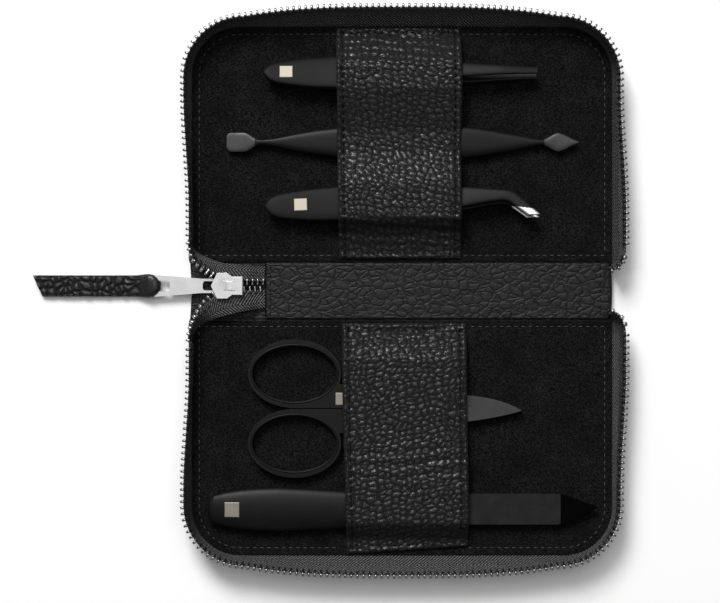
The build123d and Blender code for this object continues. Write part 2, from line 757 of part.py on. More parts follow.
with BuildPart() as cuticle_tool:
    for i in range(bar_stations + 1):
        share = i / bar_stations
        size = swelling(share)
        wide = cuticle_neck + 0.1 + size * (cuticle_w - cuticle_neck)
        thick = cuticle_neck + size * (cuticle_t - cuticle_neck)
        with BuildSketch(Plane.YZ.offset(neck_left + share * body_l)):
            with Locations((cuticle_y, cuticle_z)):
                bar_section(wide, thick)
    loft(ruled=True)
    with BuildSketch(Plane.XY.offset(cuticle_z - blade_t / 2)):
        with Locations((cuticle_x + spade_l * 0.36, cuticle_y)):
            RectangleRounded(spade_l * 0.72, spade_w, spade_w * 0.3)
        with BuildLine():
            Polyline(
                (cuticle_x + spade_l * 0.5, cuticle_y + spade_w / 2 - 0.3),
                (neck_left + 0.6, cuticle_y + cuticle_neck / 2 - 0.15),
                (neck_left + 0.6, cuticle_y - cuticle_neck / 2 + 0.15),
                (cuticle_x + spade_l * 0.5, cuticle_y - spade_w / 2 + 0.3), close=True,
            )
        make_face()
        with BuildLine():
            tip_x = neck_right + lancet_l
            wide_x = neck_right + lancet_l * 0.34
            Polyline(
                (neck_right - 0.6, cuticle_y + cuticle_neck / 2 - 0.15),
                (wide_x, cuticle_y + lancet_w / 2), (tip_x, cuticle_y),
                (wide_x, cuticle_y - lancet_w / 2),
                (neck_right - 0.6, cuticle_y - cuticle_neck / 2 + 0.15), close=True,
            )
        make_face()
    extrude(amount=blade_t)
finish(cuticle_tool, "cuticle_tool")

# ------------------------------------------------------------------ scissors
lamella = (loop_t - half_gap) / 2


def make_scissor_half(way, label):
    """One half: finger loop, shank, boss and blade. way is the side of its loop, +1 towards the spine.

    Its lamella, the flat part at the pivot and the blade, lies on top for +1 and underneath for -1."""
    flat = Plane((scissors_x, -scissors_y, tool_z))
    lamella_lift = loop_t - lamella if way > 0 else 0
    inner, outer = way * seam_gap, way * (seam_gap + shank_w)
    loop_side = way * loop_w * 0.36
    back = way * -cutting_root_w
    tip = (cutting_l, -0.7)
    with BuildPart() as half:
        with BuildSketch(flat):
            with Locations((loop_x, way * (seam_gap + loop_w / 2))):
                Ellipse(loop_l / 2, loop_w / 2)
            with BuildLine():
                Polyline(
                    (loop_x, inner), (0, inner), (0, outer), (loop_x + loop_l * 0.47, loop_side),
                    (loop_x, loop_side), close=True,
                )
            make_face()
            with Locations((loop_x, way * (seam_gap + loop_w / 2))):
                Ellipse(loop_l / 2 - loop_wall * 0.7, loop_w / 2 - loop_wall, mode=Mode.SUBTRACT)
            Circle(boss_r + 2 * half_gap, mode=Mode.SUBTRACT)
        extrude(amount=loop_t)
        with BuildSketch(flat.offset(lamella_lift)):
            Circle(boss_r)
            with Locations((-(boss_r + 1) / 2, (inner + outer) / 2)):
                Rectangle(boss_r + 1, shank_w)
            with BuildLine():
                Line((0, way), tip)
                Spline(tip, (0.62 * cutting_l, 0.62 * back), (0.25 * cutting_l, 0.9 * back), (0, back))
                Line((0, back), (0, way))
            make_face()
        extrude(amount=lamella)
        with Locations((scissors_x, -scissors_y, tool_z + loop_t)):
            Hole(screw_r + (screw_clear if way > 0 else 0), depth=loop_t)
    finish(half, label)


make_scissor_half(-1, "scissors_lower_half")
make_scissor_half(1, "scissors_upper_half")
with BuildPart() as scissors_screw:
    with BuildSketch(Plane.XY.offset(tool_z)):
        with Locations((scissors_x, -scissors_y)):
            Circle(screw_r)
    extrude(amount=loop_t + half_gap)
    with BuildSketch(Plane.XY.offset(tool_z + loop_t + half_gap)):
        with Locations((scissors_x, -scissors_y)):
            Circle(screw_head_r)
    extrude(amount=screw_head_h)
    chamfer(scissors_screw.faces().sort_by(Axis.Z)[-1].edges(), screw_head_h / 3)
finish(scissors_screw, "scissors_screw")

# ------------------------------------------------------------------ nail file
file_z = tool_z + handle_t / 2
with BuildPart() as file_handle:
    slimming = [   # share of the length, of the width and of the thickness
        (0.0, 0.56, 0.5), (0.02, 0.66, 0.64), (0.08, 0.78, 0.8), (0.17, 0.9, 0.92), (0.27, 0.97, 0.98),
        (0.38, 1.0, 1.0), (0.55, 0.93, 0.97), (0.75, 0.81, 0.88), (1.0, handle_front_w / handle_w, 0.7),
    ]
    for share, wide, thick in slimming:
        with BuildSketch(Plane.YZ.offset(file_x + share * handle_l)):
            with Locations((-file_y, file_z)):
                bar_section(wide * handle_w, thick * handle_t)
    loft(ruled=True)
    with BuildSketch(Plane.YZ.offset(file_x + handle_l)):
        with Locations((-file_y, file_z)):
            Rectangle(file_w * 0.6 + 0.1, file_t + 0.1)
    extrude(amount=-file_tang, mode=Mode.SUBTRACT)
finish(file_handle, "file_handle")

with BuildPart() as file_blade:
    front = file_x + handle_l
    point = file_x + file_l
    with BuildSketch(Plane.XY.offset(file_z - file_t / 2)):
        with BuildLine():
            Polyline(
                (front + 0.05, -file_y - file_w / 2), (point - file_point_l, -file_y - file_w / 2),
                (point - 0.75 * file_point_l, -file_y - 0.4 * file_w), (point, -file_y + 0.07 * file_w),
                (point - 0.75 * file_point_l, -file_y + 0.44 * file_w),
                (point - file_point_l, -file_y + file_w / 2), (front + 0.05, -file_y + file_w / 2),
                close=True,
            )
        make_face()
        with Locations((front - file_tang / 2 + 0.1, -file_y)):
            Rectangle(file_tang - 0.1, file_w * 0.6)
    extrude(amount=file_t)
finish(file_blade, "file_blade")
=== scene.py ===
# %% [markdown]
# # A zip-round manicure case
# The case lies open: two padded halves joined by a spine, five black steel tools under two leather
# bands, and a metal zip that runs round both halves. The rigid frame of the case comes from a CAD model.
# Here each soft piece (leather, suede, woven tape) is made as what it is, and every part gets its finish.

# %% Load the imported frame
import math

import bmesh
import bpy
import numpy as np
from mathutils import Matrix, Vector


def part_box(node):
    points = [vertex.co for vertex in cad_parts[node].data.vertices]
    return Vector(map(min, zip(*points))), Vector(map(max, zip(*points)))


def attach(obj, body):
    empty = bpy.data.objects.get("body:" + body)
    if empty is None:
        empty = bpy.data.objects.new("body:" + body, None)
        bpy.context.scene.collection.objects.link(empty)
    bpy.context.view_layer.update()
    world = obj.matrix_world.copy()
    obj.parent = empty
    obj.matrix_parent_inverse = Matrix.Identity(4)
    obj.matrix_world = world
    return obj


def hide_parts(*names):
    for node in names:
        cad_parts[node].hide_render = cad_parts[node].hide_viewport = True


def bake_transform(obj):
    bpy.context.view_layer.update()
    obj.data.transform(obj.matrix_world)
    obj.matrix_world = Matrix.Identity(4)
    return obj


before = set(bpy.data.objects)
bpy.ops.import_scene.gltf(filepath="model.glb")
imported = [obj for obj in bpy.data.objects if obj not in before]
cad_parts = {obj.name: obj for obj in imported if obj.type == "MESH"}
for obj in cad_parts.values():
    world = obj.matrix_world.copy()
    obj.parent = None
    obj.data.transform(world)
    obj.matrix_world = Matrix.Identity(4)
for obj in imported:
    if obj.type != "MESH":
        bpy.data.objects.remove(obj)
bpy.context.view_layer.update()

# %% [markdown]
# Lengths below are in millimetres, as on a pattern maker's sheet, and become metres when a mesh is made.
# Most are read from the frame, so that the soft pieces follow the rigid ones.

# %% Sizes read from the frame
def node_box(node):
    """Lowest and highest corner of a CAD node, in millimetres."""
    low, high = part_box(node)
    return np.array(low) * 1000, np.array(high) * 1000


lining_low, lining_high = node_box("upper_lining")
half_l, far = lining_high[0], lining_high[1]
fold_z, lining_z = lining_high[2], lining_low[2]
crease = lining_low[1]
leather_t = node_box("upper_leather")[1][2]
tape_top = node_box("upper_zip_tape")[1][2]
corner_r = 16.0
tooth_pitch = 2.0
tail_start = 7.5
print("half", round(half_l, 1), "far", round(far, 1), "fold height", round(fold_z, 2))

# %% [markdown]
# Every new shape is a grid of points worked out with numpy: a function of two parameters. One helper
# turns such a grid into a mesh. Closed grids join their last row or column to the first, and the open
# ends of a tube are closed by a fan of triangles, so that each mesh is a true solid.

# %% Mesh helpers
rng = np.random.default_rng(7)
sides = ((1, "upper"), (-1, "lower"))
z_up = np.array([0.0, 0.0, 1.0])


def grid_faces(rows, cols, closed_rows=False, closed_cols=False):
    """Quads of a grid of rows x cols points, wrapped round where closed."""
    r = np.arange(rows if closed_rows else rows - 1)
    c = np.arange(cols if closed_cols else cols - 1)
    r, c = np.meshgrid(r, c, indexing="ij")
    r2, c2 = (r + 1) % rows, (c + 1) % cols
    quads = np.stack([r * cols + c, r * cols + c2, r2 * cols + c2, r2 * cols + c], axis=-1)
    return quads.reshape(-1, 4)


def add(name, data):
    """New object with this mesh, lamp or camera, linked to the scene."""
    obj = bpy.data.objects.new(name, data)
    bpy.context.scene.collection.objects.link(obj)
    return obj


def new_mesh(name, points, faces, uv=None, smooth=True):
    """Object from points in millimetres and lists of faces, with an optional UV for each point."""
    mesh = bpy.data.meshes.new(name)
    mesh.from_pydata((np.asarray(points, float).reshape(-1, 3) / 1000).tolist(), [], faces)
    if uv is not None:
        corner = np.zeros(len(mesh.loops), np.int32)
        mesh.loops.foreach_get("vertex_index", corner)
        layer = mesh.uv_layers.new(name="UVMap")
        layer.data.foreach_set("uv", np.asarray(uv, float).reshape(-1, 2)[corner].ravel())
    mesh.polygons.foreach_set("use_smooth", [smooth] * len(mesh.polygons))
    mesh.update()
    return add(name, mesh)


def face_out(obj):
    """Turn every face of a closed mesh outwards."""
    bm = bmesh.new()
    bm.from_mesh(obj.data)
    bmesh.ops.recalc_face_normals(bm, faces=bm.faces)
    bm.to_mesh(obj.data)
    bm.free()


print("mesh helpers ready")

# %% [markdown]
# Most pieces are solids made of rings: a section carried along a path, or a sheet whose top and bottom
# are joined round its edge. Teeth and stitches repeat by the hundred, so one small shape is copied to
# all its places at once, as whole arrays.

# %% Solids
def capped(rings):
    """Points and faces of a row of rings (rings, points round, 3), closed at both ends by a fan."""
    count, around = rings.shape[:2]
    points = np.concatenate([rings.reshape(-1, 3), rings[0].mean(0)[None], rings[-1].mean(0)[None]])
    turn = np.arange(around)
    after, base = (turn + 1) % around, (count - 1) * around
    faces = grid_faces(count, around, closed_cols=True).tolist()
    faces += np.stack([after, turn, np.full(around, len(points) - 2)], axis=-1).tolist()
    faces += np.stack([base + turn, base + after, np.full(around, len(points) - 1)], axis=-1).tolist()
    return points, faces


def tube(name, rings, uv=None, smooth=True):
    """Solid from rings of points, closed at both ends."""
    points, faces = capped(rings)
    if uv is not None:
        uv = np.concatenate([uv.reshape(-1, 2), uv[0].mean(0)[None], uv[-1].mean(0)[None]])
    obj = new_mesh(name, points, faces, uv, smooth)
    face_out(obj)
    return obj


def sheet_solid(name, top, thickness, uv, normals=z_up):
    """Solid of a sheet: its top grid, the same grid moved down its normals, and the edge between."""
    bottom = top - np.broadcast_to(normals, top.shape) * thickness
    section = np.concatenate([top, bottom[:, ::-1]], axis=1)
    return tube(name, section, np.concatenate([uv, uv[:, ::-1]], axis=1))


def grid_normals(grid):
    """Unit normals of a grid of points, from the cross product of its two directions."""
    along = np.gradient(grid, axis=0)
    across = np.gradient(grid, axis=1)
    n = np.cross(across, along)
    return n / np.maximum(np.linalg.norm(n, axis=-1, keepdims=True), 1e-9)


def copies(name, shape, faces, places):
    """One mesh of many small equal shapes. places is (count, 3, 4): each shape's axes and origin."""
    points = np.einsum("nij,kj->nki", places[:, :, :3], shape) + places[:, None, :, 3]
    shift = (np.arange(len(places)) * len(shape))[:, None]
    flat = []
    for face in faces:
        flat += (np.array(face)[None, :] + shift).tolist()
    obj = new_mesh(name, points.reshape(-1, 3), flat)
    face_out(obj)
    return obj


print("solid helpers ready")

# %% [markdown]
# A seam, a row of teeth or an edge is a path: a list of points. These helpers measure a path, space
# points evenly along it, smooth it, and give each point its own directions.

# %% Paths and sections
def unit(vectors):
    """The same vectors, each of length 1."""
    return vectors / np.linalg.norm(vectors, axis=-1, keepdims=True)


def frames_along(points, ups):
    """Axes for small pieces on a path: x along it, z near the given up, y across."""
    along = unit(np.gradient(points, axis=0))
    across = unit(np.cross(ups, along))
    return np.stack([along, across, np.cross(along, across), points], axis=-1)


def distances(points):
    """Distance from a polyline's start to each of its points."""
    return np.concatenate([[0], np.cumsum(np.linalg.norm(np.diff(points, axis=0), axis=1))])


def read_at(spots, places, values):
    """Each column of values, known at places, read at spots between them."""
    return np.stack([np.interp(spots, places, column) for column in values.T], axis=1)


def resample(points, count=None, step=None):
    """Points evenly spaced along a polyline, and their distances from its start."""
    length = distances(points)
    at = np.linspace(0, length[-1], count) if count else np.arange(0, length[-1], step)
    return read_at(at, length, points), at


def at_height(plan, z):
    """Points of a plan with heights: one for them all, or one for each."""
    return np.column_stack([plan, np.broadcast_to(z, len(plan))])


def angles(count):
    """Angles evenly spaced round a full turn."""
    return np.linspace(0, 2 * math.pi, count, endpoint=False)


def squared(wave, power):
    """A cosine or sine made squarer, as a superellipse needs: sign(w) * |w|^(2 / power)."""
    return np.sign(wave) * np.abs(wave) ** (2 / power)


def smooth_line(values, width):
    """Moving average of a list of values or points, with its ends held."""
    kernel = np.hanning(width + 2)[1:-1]
    kernel /= kernel.sum()
    values = np.asarray(values, float)
    flat = values.reshape(len(values), -1)
    pad = width // 2
    out = [
        np.convolve(np.pad(flat[:, i], pad, mode="reflect", reflect_type="odd"), kernel, "same")[pad:-pad]
        for i in range(flat.shape[1])
    ]
    return np.stack(out, axis=1).reshape(values.shape)


print("path helpers ready")

# %% [markdown]
# Leather pebbles, wrinkles and the waviness of cloth come from smooth random fields. A lattice of random
# numbers is blended between its points, which gives the same field on every run.

# %% Random fields
lattice = rng.random((64, 64))


def field(x, y):
    """Smooth random heights from 0 to 1: the lattice blended between its four nearest points."""
    i, j = np.floor(x).astype(int), np.floor(y).astype(int)
    fx, fy = x - i, y - j
    fx, fy = fx * fx * (3 - 2 * fx), fy * fy * (3 - 2 * fy)
    low = lattice[i % 64, j % 64] * (1 - fx) + lattice[(i + 1) % 64, j % 64] * fx
    high = lattice[i % 64, (j + 1) % 64] * (1 - fx) + lattice[(i + 1) % 64, (j + 1) % 64] * fx
    return low * (1 - fy) + high * fy


jitter = rng.random((64, 64, 2)) * 0.8 + 0.1


def pebbles(x, y):
    """Height of leather pebbles = r * (2 - r), where r rises from 0 in a crease to 1 inside a pebble: the
    distance to the second nearest of a jittered lattice's points less the distance to the nearest."""
    i, j = np.floor(x).astype(int), np.floor(y).astype(int)
    near = np.full(x.shape, 9.0)
    next_near = np.full(x.shape, 9.0)
    for di in (-1, 0, 1):
        for dj in (-1, 0, 1):
            spot = jitter[(i + di) % 64, (j + dj) % 64]
            d = np.hypot(x - i - di - spot[..., 0], y - j - dj - spot[..., 1])
            next_near = np.minimum(next_near, np.maximum(near, d))
            near = np.minimum(near, d)
    rise = np.clip((next_near - near) * 1.25, 0, 1)
    return rise * (2 - rise)


print("fields ready")

# %% [markdown]
# ## Finishes
# Every finish is one shader with its plain numbers on its own sockets. What several finishes share, such
# as leather grain or woven twill, is a node group that gives a colour and a height, so that the same
# grain can be coarse on the bands and fine on the spine.

# %% Node helpers
def new_group(name, inputs, outputs):
    """Empty shader group with named number or colour sockets. Returns the group and its two ends."""
    group = bpy.data.node_groups.new(name, "ShaderNodeTree")
    for label, kind, value in inputs:
        socket = group.interface.new_socket(label, in_out="INPUT", socket_type=kind)
        if value is not None:
            socket.default_value = value
    for label, kind in outputs:
        group.interface.new_socket(label, in_out="OUTPUT", socket_type=kind)
    return group, group.nodes.new("NodeGroupInput"), group.nodes.new("NodeGroupOutput")


def node(tree, kind, settings=None, **links):
    """Add a node, set its plain properties, and link or set its inputs by name or number."""
    made = tree.nodes.new(kind)
    for key, value in (settings or {}).items():
        setattr(made, key, value)
    for key, value in links.items():
        socket = made.inputs[int(key[1:])] if key[0] == "_" else made.inputs[key.replace("_", " ")]
        if isinstance(value, bpy.types.NodeSocket):
            tree.links.new(value, socket)
        else:
            socket.default_value = value
    return made


def ramp(tree, value, stops):
    """Colour ramp from (place, grey or colour) stops."""
    made = tree.nodes.new("ShaderNodeValToRGB")
    tree.links.new(value, made.inputs[0])
    for i, (place, colour) in enumerate(stops):
        stop = made.color_ramp.elements[i] if i < 2 else made.color_ramp.elements.new(place)
        stop.position = place
        stop.color = (*colour, 1) if isinstance(colour, tuple) else (colour, colour, colour, 1)
    return made.outputs[0]


def math_node(tree, operation, a, b=0.0):
    """Output of a sum between two numbers or sockets."""
    return node(tree, "ShaderNodeMath", {"operation": operation}, _0=a, _1=b).outputs[0]


def times(tree, a, b):
    """Output of a times b."""
    return math_node(tree, "MULTIPLY", a, b)


def plus(tree, a, b):
    """Output of a plus b."""
    return math_node(tree, "ADD", a, b)


def half_up(tree, value, size):
    """Output of value * size + 0.5, which brings a wave round 0 to lie round a half."""
    made = math_node(tree, "MULTIPLY_ADD", value, size)
    made.node.inputs[2].default_value = 0.5
    return made


def noise(tree, vector, scale, detail):
    """Noise texture of a scale and a detail over a vector."""
    return node(tree, "ShaderNodeTexNoise", _0=vector, Scale=scale, Detail=detail)


number, vector_kind = "NodeSocketFloat", "NodeSocketVector"
print("node helpers ready")

# %% [markdown]
# Pebbled leather is calf hide pressed and tumbled until it crazes into little rounded cells. The grain
# group makes the cells from two sizes of Voronoi cells, bent by noise so that no cell is a straight-sided
# tile. It gives a height for the bump and a painted shade that darkens the colour in the creases between
# the cells.

# %% Leather grain group
grain, grain_in, grain_out = new_group(
    "leather_grain",
    [("Vector", vector_kind, None), ("Cells per mm", number, 0.6), ("Bend", number, 0.5),
     ("Unevenness", number, 0.5)],
    [("Height", number), ("Shade", number)],
)


def build_grain():
    """Height = rounded cell domes + fine cells + broad unevenness + pores.
    Shade = painted shade of the creases: 0 in the creases and 1 on top of the cells."""
    links = grain.links
    stretch = node(grain, "ShaderNodeMapping", _0=grain_in.outputs["Vector"])
    stretch.inputs["Rotation"].default_value = (0, 0, 0.6)
    stretch.inputs["Scale"].default_value = (0.82, 1.18, 1.0)
    scale = times(grain, grain_in.outputs["Cells per mm"], 1000.0)
    swirl = noise(grain, stretch.outputs[0], times(grain, scale, 0.7), 2.0)
    centred = node(grain, "ShaderNodeVectorMath", {"operation": "SUBTRACT"}, _0=swirl.outputs["Color"])
    centred.inputs[1].default_value = (0.5, 0.5, 0.5)
    amount = math_node(grain, "DIVIDE", grain_in.outputs["Bend"], scale)
    bend = node(grain, "ShaderNodeVectorMath", {"operation": "SCALE"}, _0=centred.outputs[0], Scale=amount)
    moved = node(
        grain, "ShaderNodeVectorMath", {"operation": "ADD"}, _0=stretch.outputs[0], _1=bend.outputs[0]
    ).outputs[0]
    cells = node(grain, "ShaderNodeTexVoronoi", {"feature": "DISTANCE_TO_EDGE"}, _0=moved, Scale=scale)
    dome = ramp(grain, cells.outputs["Distance"], [(0.0, 0.0), (0.07, 0.5), (0.2, 0.86), (0.45, 1.0)])
    small = node(
        grain, "ShaderNodeTexVoronoi", {"feature": "DISTANCE_TO_EDGE"}, _0=moved,
        Scale=times(grain, scale, 2.1),
    )
    fine = ramp(grain, small.outputs["Distance"], [(0.0, 0.35), (0.2, 1.0)])
    broad = noise(grain, stretch.outputs[0], times(grain, scale, 0.42), 3.0)
    pores = noise(grain, moved, times(grain, scale, 9.0), 3.0)
    height = times(grain, dome, 0.55)
    height = plus(grain, height, times(grain, fine, 0.16))
    height = plus(grain, height, times(grain, pores.outputs[0], 0.08))
    uneven = times(grain, broad.outputs[0], grain_in.outputs["Unevenness"])
    links.new(plus(grain, height, uneven), grain_out.inputs["Height"])
    # Shade is painted shade: the colour is dark in the creases and light on the cells' tops.
    links.new(times(grain, dome, fine), grain_out.inputs["Shade"])


build_grain()
print("leather grain group", len(grain.nodes), "nodes")

# %% [markdown]
# The zip tape is a twill: fine diagonal ribs with a herringbone turn at the middle. Its pattern follows
# the cloth, so it reads the UV map, which holds millimetres along and across the tape.

# %% Twill group
twill, twill_in, twill_out = new_group(
    "twill_weave",
    [("Vector", vector_kind, None), ("Ribs per mm", number, 0.86)],
    [("Height", number), ("Shade", number)],
)


def build_twill():
    """Height = product of a diagonal wave and a thread wave; ribs lean the other way past the middle.
    Shade = that height times random wear, so the gaps between the ribs get painted shade.
    """
    parts = node(twill, "ShaderNodeSeparateXYZ", _0=twill_in.outputs["Vector"])
    along, across = parts.outputs[0], parts.outputs[1]
    turned = math_node(twill, "PINGPONG", across, 4.5)
    slanted = plus(twill, along, turned)
    wave = times(twill, slanted, twill_in.outputs["Ribs per mm"])
    wave = times(twill, wave, 2 * math.pi)
    ribs = half_up(twill, math_node(twill, "SINE", wave), 0.5)
    thread_wave = times(twill, across, 1.6 * math.pi)
    threads = half_up(twill, math_node(twill, "SINE", thread_wave), 0.3)
    height = times(twill, ribs, half_up(twill, threads, 0.5))
    fuzz = noise(twill, twill_in.outputs["Vector"], 3.2, 3.0)
    worn = ramp(twill, fuzz.outputs[0], [(0.42, 0.1), (0.6, 1.5)])
    mixed = plus(twill, height, times(twill, fuzz.outputs[0], 0.35))
    twill.links.new(mixed, twill_out.inputs["Height"])
    # Shade: painted shade between the ribs, times random wear.
    twill.links.new(times(twill, height, worn), twill_out.inputs["Shade"])


build_twill()
print("twill group", len(twill.nodes), "nodes")

# %% [markdown]
# Suede is a nap of very short fibres. It drinks the light, and shows only a soft speckle and cloudy
# patches where the nap has been brushed one way or the other.

# %% Suede group
nap, nap_in, nap_out = new_group(
    "suede_nap", [("Vector", vector_kind, None)], [("Height", number), ("Shade", number)]
)


def build_nap():
    """Height = fine noise of fibres. Shade = that speckle times broad brushed clouds."""
    fibres = noise(nap, nap_in.outputs["Vector"], 2600.0, 3.0)
    clouds = noise(nap, nap_in.outputs["Vector"], 120.0, 4.0)
    speckle = ramp(nap, fibres.outputs[0], [(0.42, 0.0), (0.62, 1.0)])
    cloud = ramp(nap, clouds.outputs[0], [(0.3, 0.45), (0.7, 1.0)])
    nap.links.new(fibres.outputs[0], nap_out.inputs["Height"])
    nap.links.new(times(nap, speckle, cloud), nap_out.inputs["Shade"])


build_nap()
print("suede group", len(nap.nodes), "nodes")

# %% [markdown]
# Metal that has been tumbled or coated shows a very fine cloudiness and faint scratches. One group gives
# both, and each metal takes as much of it as it needs.

# %% Metal surface group
haze, haze_in, haze_out = new_group(
    "metal_haze",
    [("Vector", vector_kind, None), ("Streak", number, 0.0)],
    [("Height", number), ("Shade", number)],
)


def build_haze():
    """Height = fine noise stretched along X. Shade = broad clouds with a little of the fine noise."""
    stretch = node(haze, "ShaderNodeMapping", _0=haze_in.outputs["Vector"])
    stretch.inputs["Scale"].default_value = (0.06, 1.0, 1.0)
    lines = noise(haze, stretch.outputs[0], 5000.0, 2.0)
    clouds = noise(haze, haze_in.outputs["Vector"], 260.0, 5.0)
    grit = noise(haze, haze_in.outputs["Vector"], 6000.0, 2.0)
    mixed = node(
        haze, "ShaderNodeMix", {"data_type": "FLOAT"}, _0=haze_in.outputs["Streak"],
        _2=grit.outputs[0], _3=lines.outputs[0],
    )
    haze.links.new(mixed.outputs[0], haze_out.inputs["Height"])
    shade = plus(haze, clouds.outputs[0], times(haze, mixed.outputs[0], 0.4))
    haze.links.new(shade, haze_out.inputs["Shade"])


build_haze()
print("metal group", len(haze.nodes), "nodes")

# %% [markdown]
# A finish is then short: a Principled shader, one of the groups above, a ramp from its shade to two
# colours, and a bump from its height. Constant numbers stay on the shader's own sockets.

# %% Finish helper
finishes = {}


def finish(
    name, group, low, high, rough, bump, reach=0.2, source="Object", plain=None, values=None, paints_crease_shade=False,
    coat=0.0,
):
    """Material whose colour runs from low to high over a group's shade, with a bump of its height.

    rough is (roughness at low, roughness at high), reach is the bump's real height in millimetres. The
    mesh's own attribute crease, 0 in a crease and 1 on a pebble, can also be used: it darkens the colour
    with painted shade in the creases. coat is how much clear finish lies on the tops, and none of it
    reaches the creases."""
    made = bpy.data.materials.new(name)
    made.use_nodes = True
    tree = made.node_tree
    shader = tree.nodes["Principled BSDF"]
    place = tree.nodes.new("ShaderNodeTexCoord")
    pattern = node(tree, "ShaderNodeGroup", {"node_tree": group}, Vector=place.outputs[source])
    for key, value in (values or {}).items():
        pattern.inputs[key].default_value = value
    shade = pattern.outputs["Shade"]
    if paints_crease_shade:
        # Painted shade: the mesh's attribute crease darkens the colour in the creases.
        crease_shade = node(tree, "ShaderNodeAttribute", {"attribute_name": "crease"}).outputs["Fac"]
        shade = times(tree, shade, crease_shade)
    colour = ramp(tree, shade, [(0.0, low), (1.0, high)])
    tree.links.new(colour, shader.inputs["Base Color"])
    roughness = node(tree, "ShaderNodeMapRange", _0=shade, _3=rough[0], _4=rough[1])
    tree.links.new(roughness.outputs[0], shader.inputs["Roughness"])
    if coat:
        polish = node(tree, "ShaderNodeMapRange", _0=shade, _1=0.08, _2=0.75, _3=0.0, _4=coat)
        tree.links.new(polish.outputs[0], shader.inputs["Coat Weight"])
    relief = node(
        tree, "ShaderNodeBump", Strength=bump, Distance=reach / 1000, Height=pattern.outputs["Height"]
    )
    tree.links.new(relief.outputs[0], shader.inputs["Normal"])
    for key, value in (plain or {}).items():
        shader.inputs[key].default_value = value
    finishes[name] = made
    return made


def paint_crease_shade(obj, values):
    """Store painted crease shade, 0 in a crease and 1 on a pebble, on the mesh's first vertices, and 1 on
    the rest.
    """
    whole = np.ones(len(obj.data.vertices), np.float32)
    whole[: len(values)] = values
    obj.data.attributes.new("crease", "FLOAT", "POINT").data.foreach_set("value", whole)


print("finish helper ready")

# %% [markdown]
# The pebbles of the bands and of the tab are in their meshes, and their finish adds the fine cells on top.
# It has a clear dressing that only the pebbles' tops keep, so they shine while the creases stay dull. Each
# leather's colour also has painted shade in its creases. The spine's leather is flatter, the suede is
# nearly black, and the tape's ribs are grey with painted shade in the gaps.

# %% Leather, suede and cloth finishes
# Each leather's low colour is the painted shade of its creases.
finish(
    "band_leather", grain, 0.0006, (0.012, 0.012, 0.0122), (0.9, 0.4), 1.0, 0.35,
    values={"Cells per mm": 1.1, "Bend": 0.9, "Unevenness": 1.2}, paints_crease_shade=True, coat=1.0,
    plain={"Specular IOR Level": 0.36, "Coat Roughness": 0.32, "Coat IOR": 1.55},
)
finish(
    "spine_leather", grain, 0.002, (0.004, 0.004, 0.0042), (0.5, 0.44), 1.0, 0.28,
    values={"Cells per mm": 0.36, "Bend": 0.8, "Unevenness": 0.5}, plain={"Specular IOR Level": 0.28},
)
finish(
    "cover_leather", grain, 0.007, (0.026, 0.026, 0.027), (0.62, 0.46), 0.9, 0.3,
    values={"Cells per mm": 0.5, "Bend": 0.7},
)
finish(
    "tab_leather", grain, 0.0004, (0.008, 0.008, 0.0082), (0.7, 0.34), 0.6, 0.15,
    values={"Cells per mm": 1.6, "Bend": 0.5}, paints_crease_shade=True, coat=0.9,
    plain={"Specular IOR Level": 0.3, "Coat Roughness": 0.3},
)
finish(
    "suede", nap, 0.0002, (0.0165, 0.0165, 0.0163), (0.95, 1.0), 0.9, 0.3,
    plain={"Specular IOR Level": 0.06, "Sheen Weight": 0.1, "Sheen Roughness": 0.5},
)
# The tape's low colour is painted shade in the gaps between its ribs.
finish(
    "zip_cloth", twill, 0.001, 0.27, (0.9, 0.5), 1.0, 0.7, source="UV",
    plain={"Specular IOR Level": 0.4},
)
finish("board", nap, 0.012, 0.03, (0.8, 0.9), 0.3, 0.1)
print("soft finishes", len(finishes))

# %% [markdown]
# The tools are steel under a thin black coat. Such a coat mirrors like a plastic and not like a bare
# metal, so these finishes are dark and not metallic. Nickel and the plates are bare, and so metallic.

# %% Metal finishes
coat_low, coat_high = (0.002, 0.002, 0.0021), (0.006, 0.006, 0.0063)
finish(
    "nickel", haze, 0.42, 0.6, (0.26, 0.34), 0.15, 0.02,
    plain={"Metallic": 1.0}, values={"Streak": 0.3},
)
finish("tooth_nickel", haze, (0.16, 0.16, 0.165), 0.42, (0.2, 0.34), 0.2, 0.03, plain={"Metallic": 1.0})
finish(
    "black_steel", haze, coat_low, coat_high, (0.36, 0.44), 0.25, 0.015,
    plain={"Specular IOR Level": 0.16}, values={"Streak": 0.8},
)
finish(
    "satin_black", haze, coat_low, coat_high, (0.4, 0.48), 0.2, 0.015,
    plain={"Specular IOR Level": 0.08}, values={"Streak": 0.8},
)
finish(
    "ground_steel", haze, (0.014, 0.014, 0.0145), (0.034, 0.034, 0.035), (0.3, 0.4), 0.3, 0.02,
    plain={"Specular IOR Level": 0.42}, values={"Streak": 1.0},
)
finish(
    "polished_black", haze, 0.0006, 0.001, (0.12, 0.2), 0.05, 0.005,
    plain={"Specular IOR Level": 0.05},
)
finish(
    "inlay", haze, (0.24, 0.22, 0.18), (0.34, 0.31, 0.26), (0.5, 0.6), 0.2, 0.02,
    plain={"Metallic": 1.0}, values={"Streak": 0.6},
)
finish(
    "grit_steel", haze, 0.0006, 0.014, (0.8, 0.6), 0.9, 0.06,
    values={"Streak": 0.0}, plain={"Specular IOR Level": 0.2},
)
finish("thread_grey", nap, 0.03, 0.1, (0.7, 0.8), 0.4, 0.05)
finish("thread_black", nap, 0.0004, 0.002, (0.8, 0.9), 0.4, 0.05, plain={"Specular IOR Level": 0.1})
print("finishes", sorted(finishes))

# %% [markdown]
# One helper dresses a piece: its finish, the body that it rides and the CAD nodes that it stands for.
# Another gives some of its faces a second finish, as where an edge is ground.

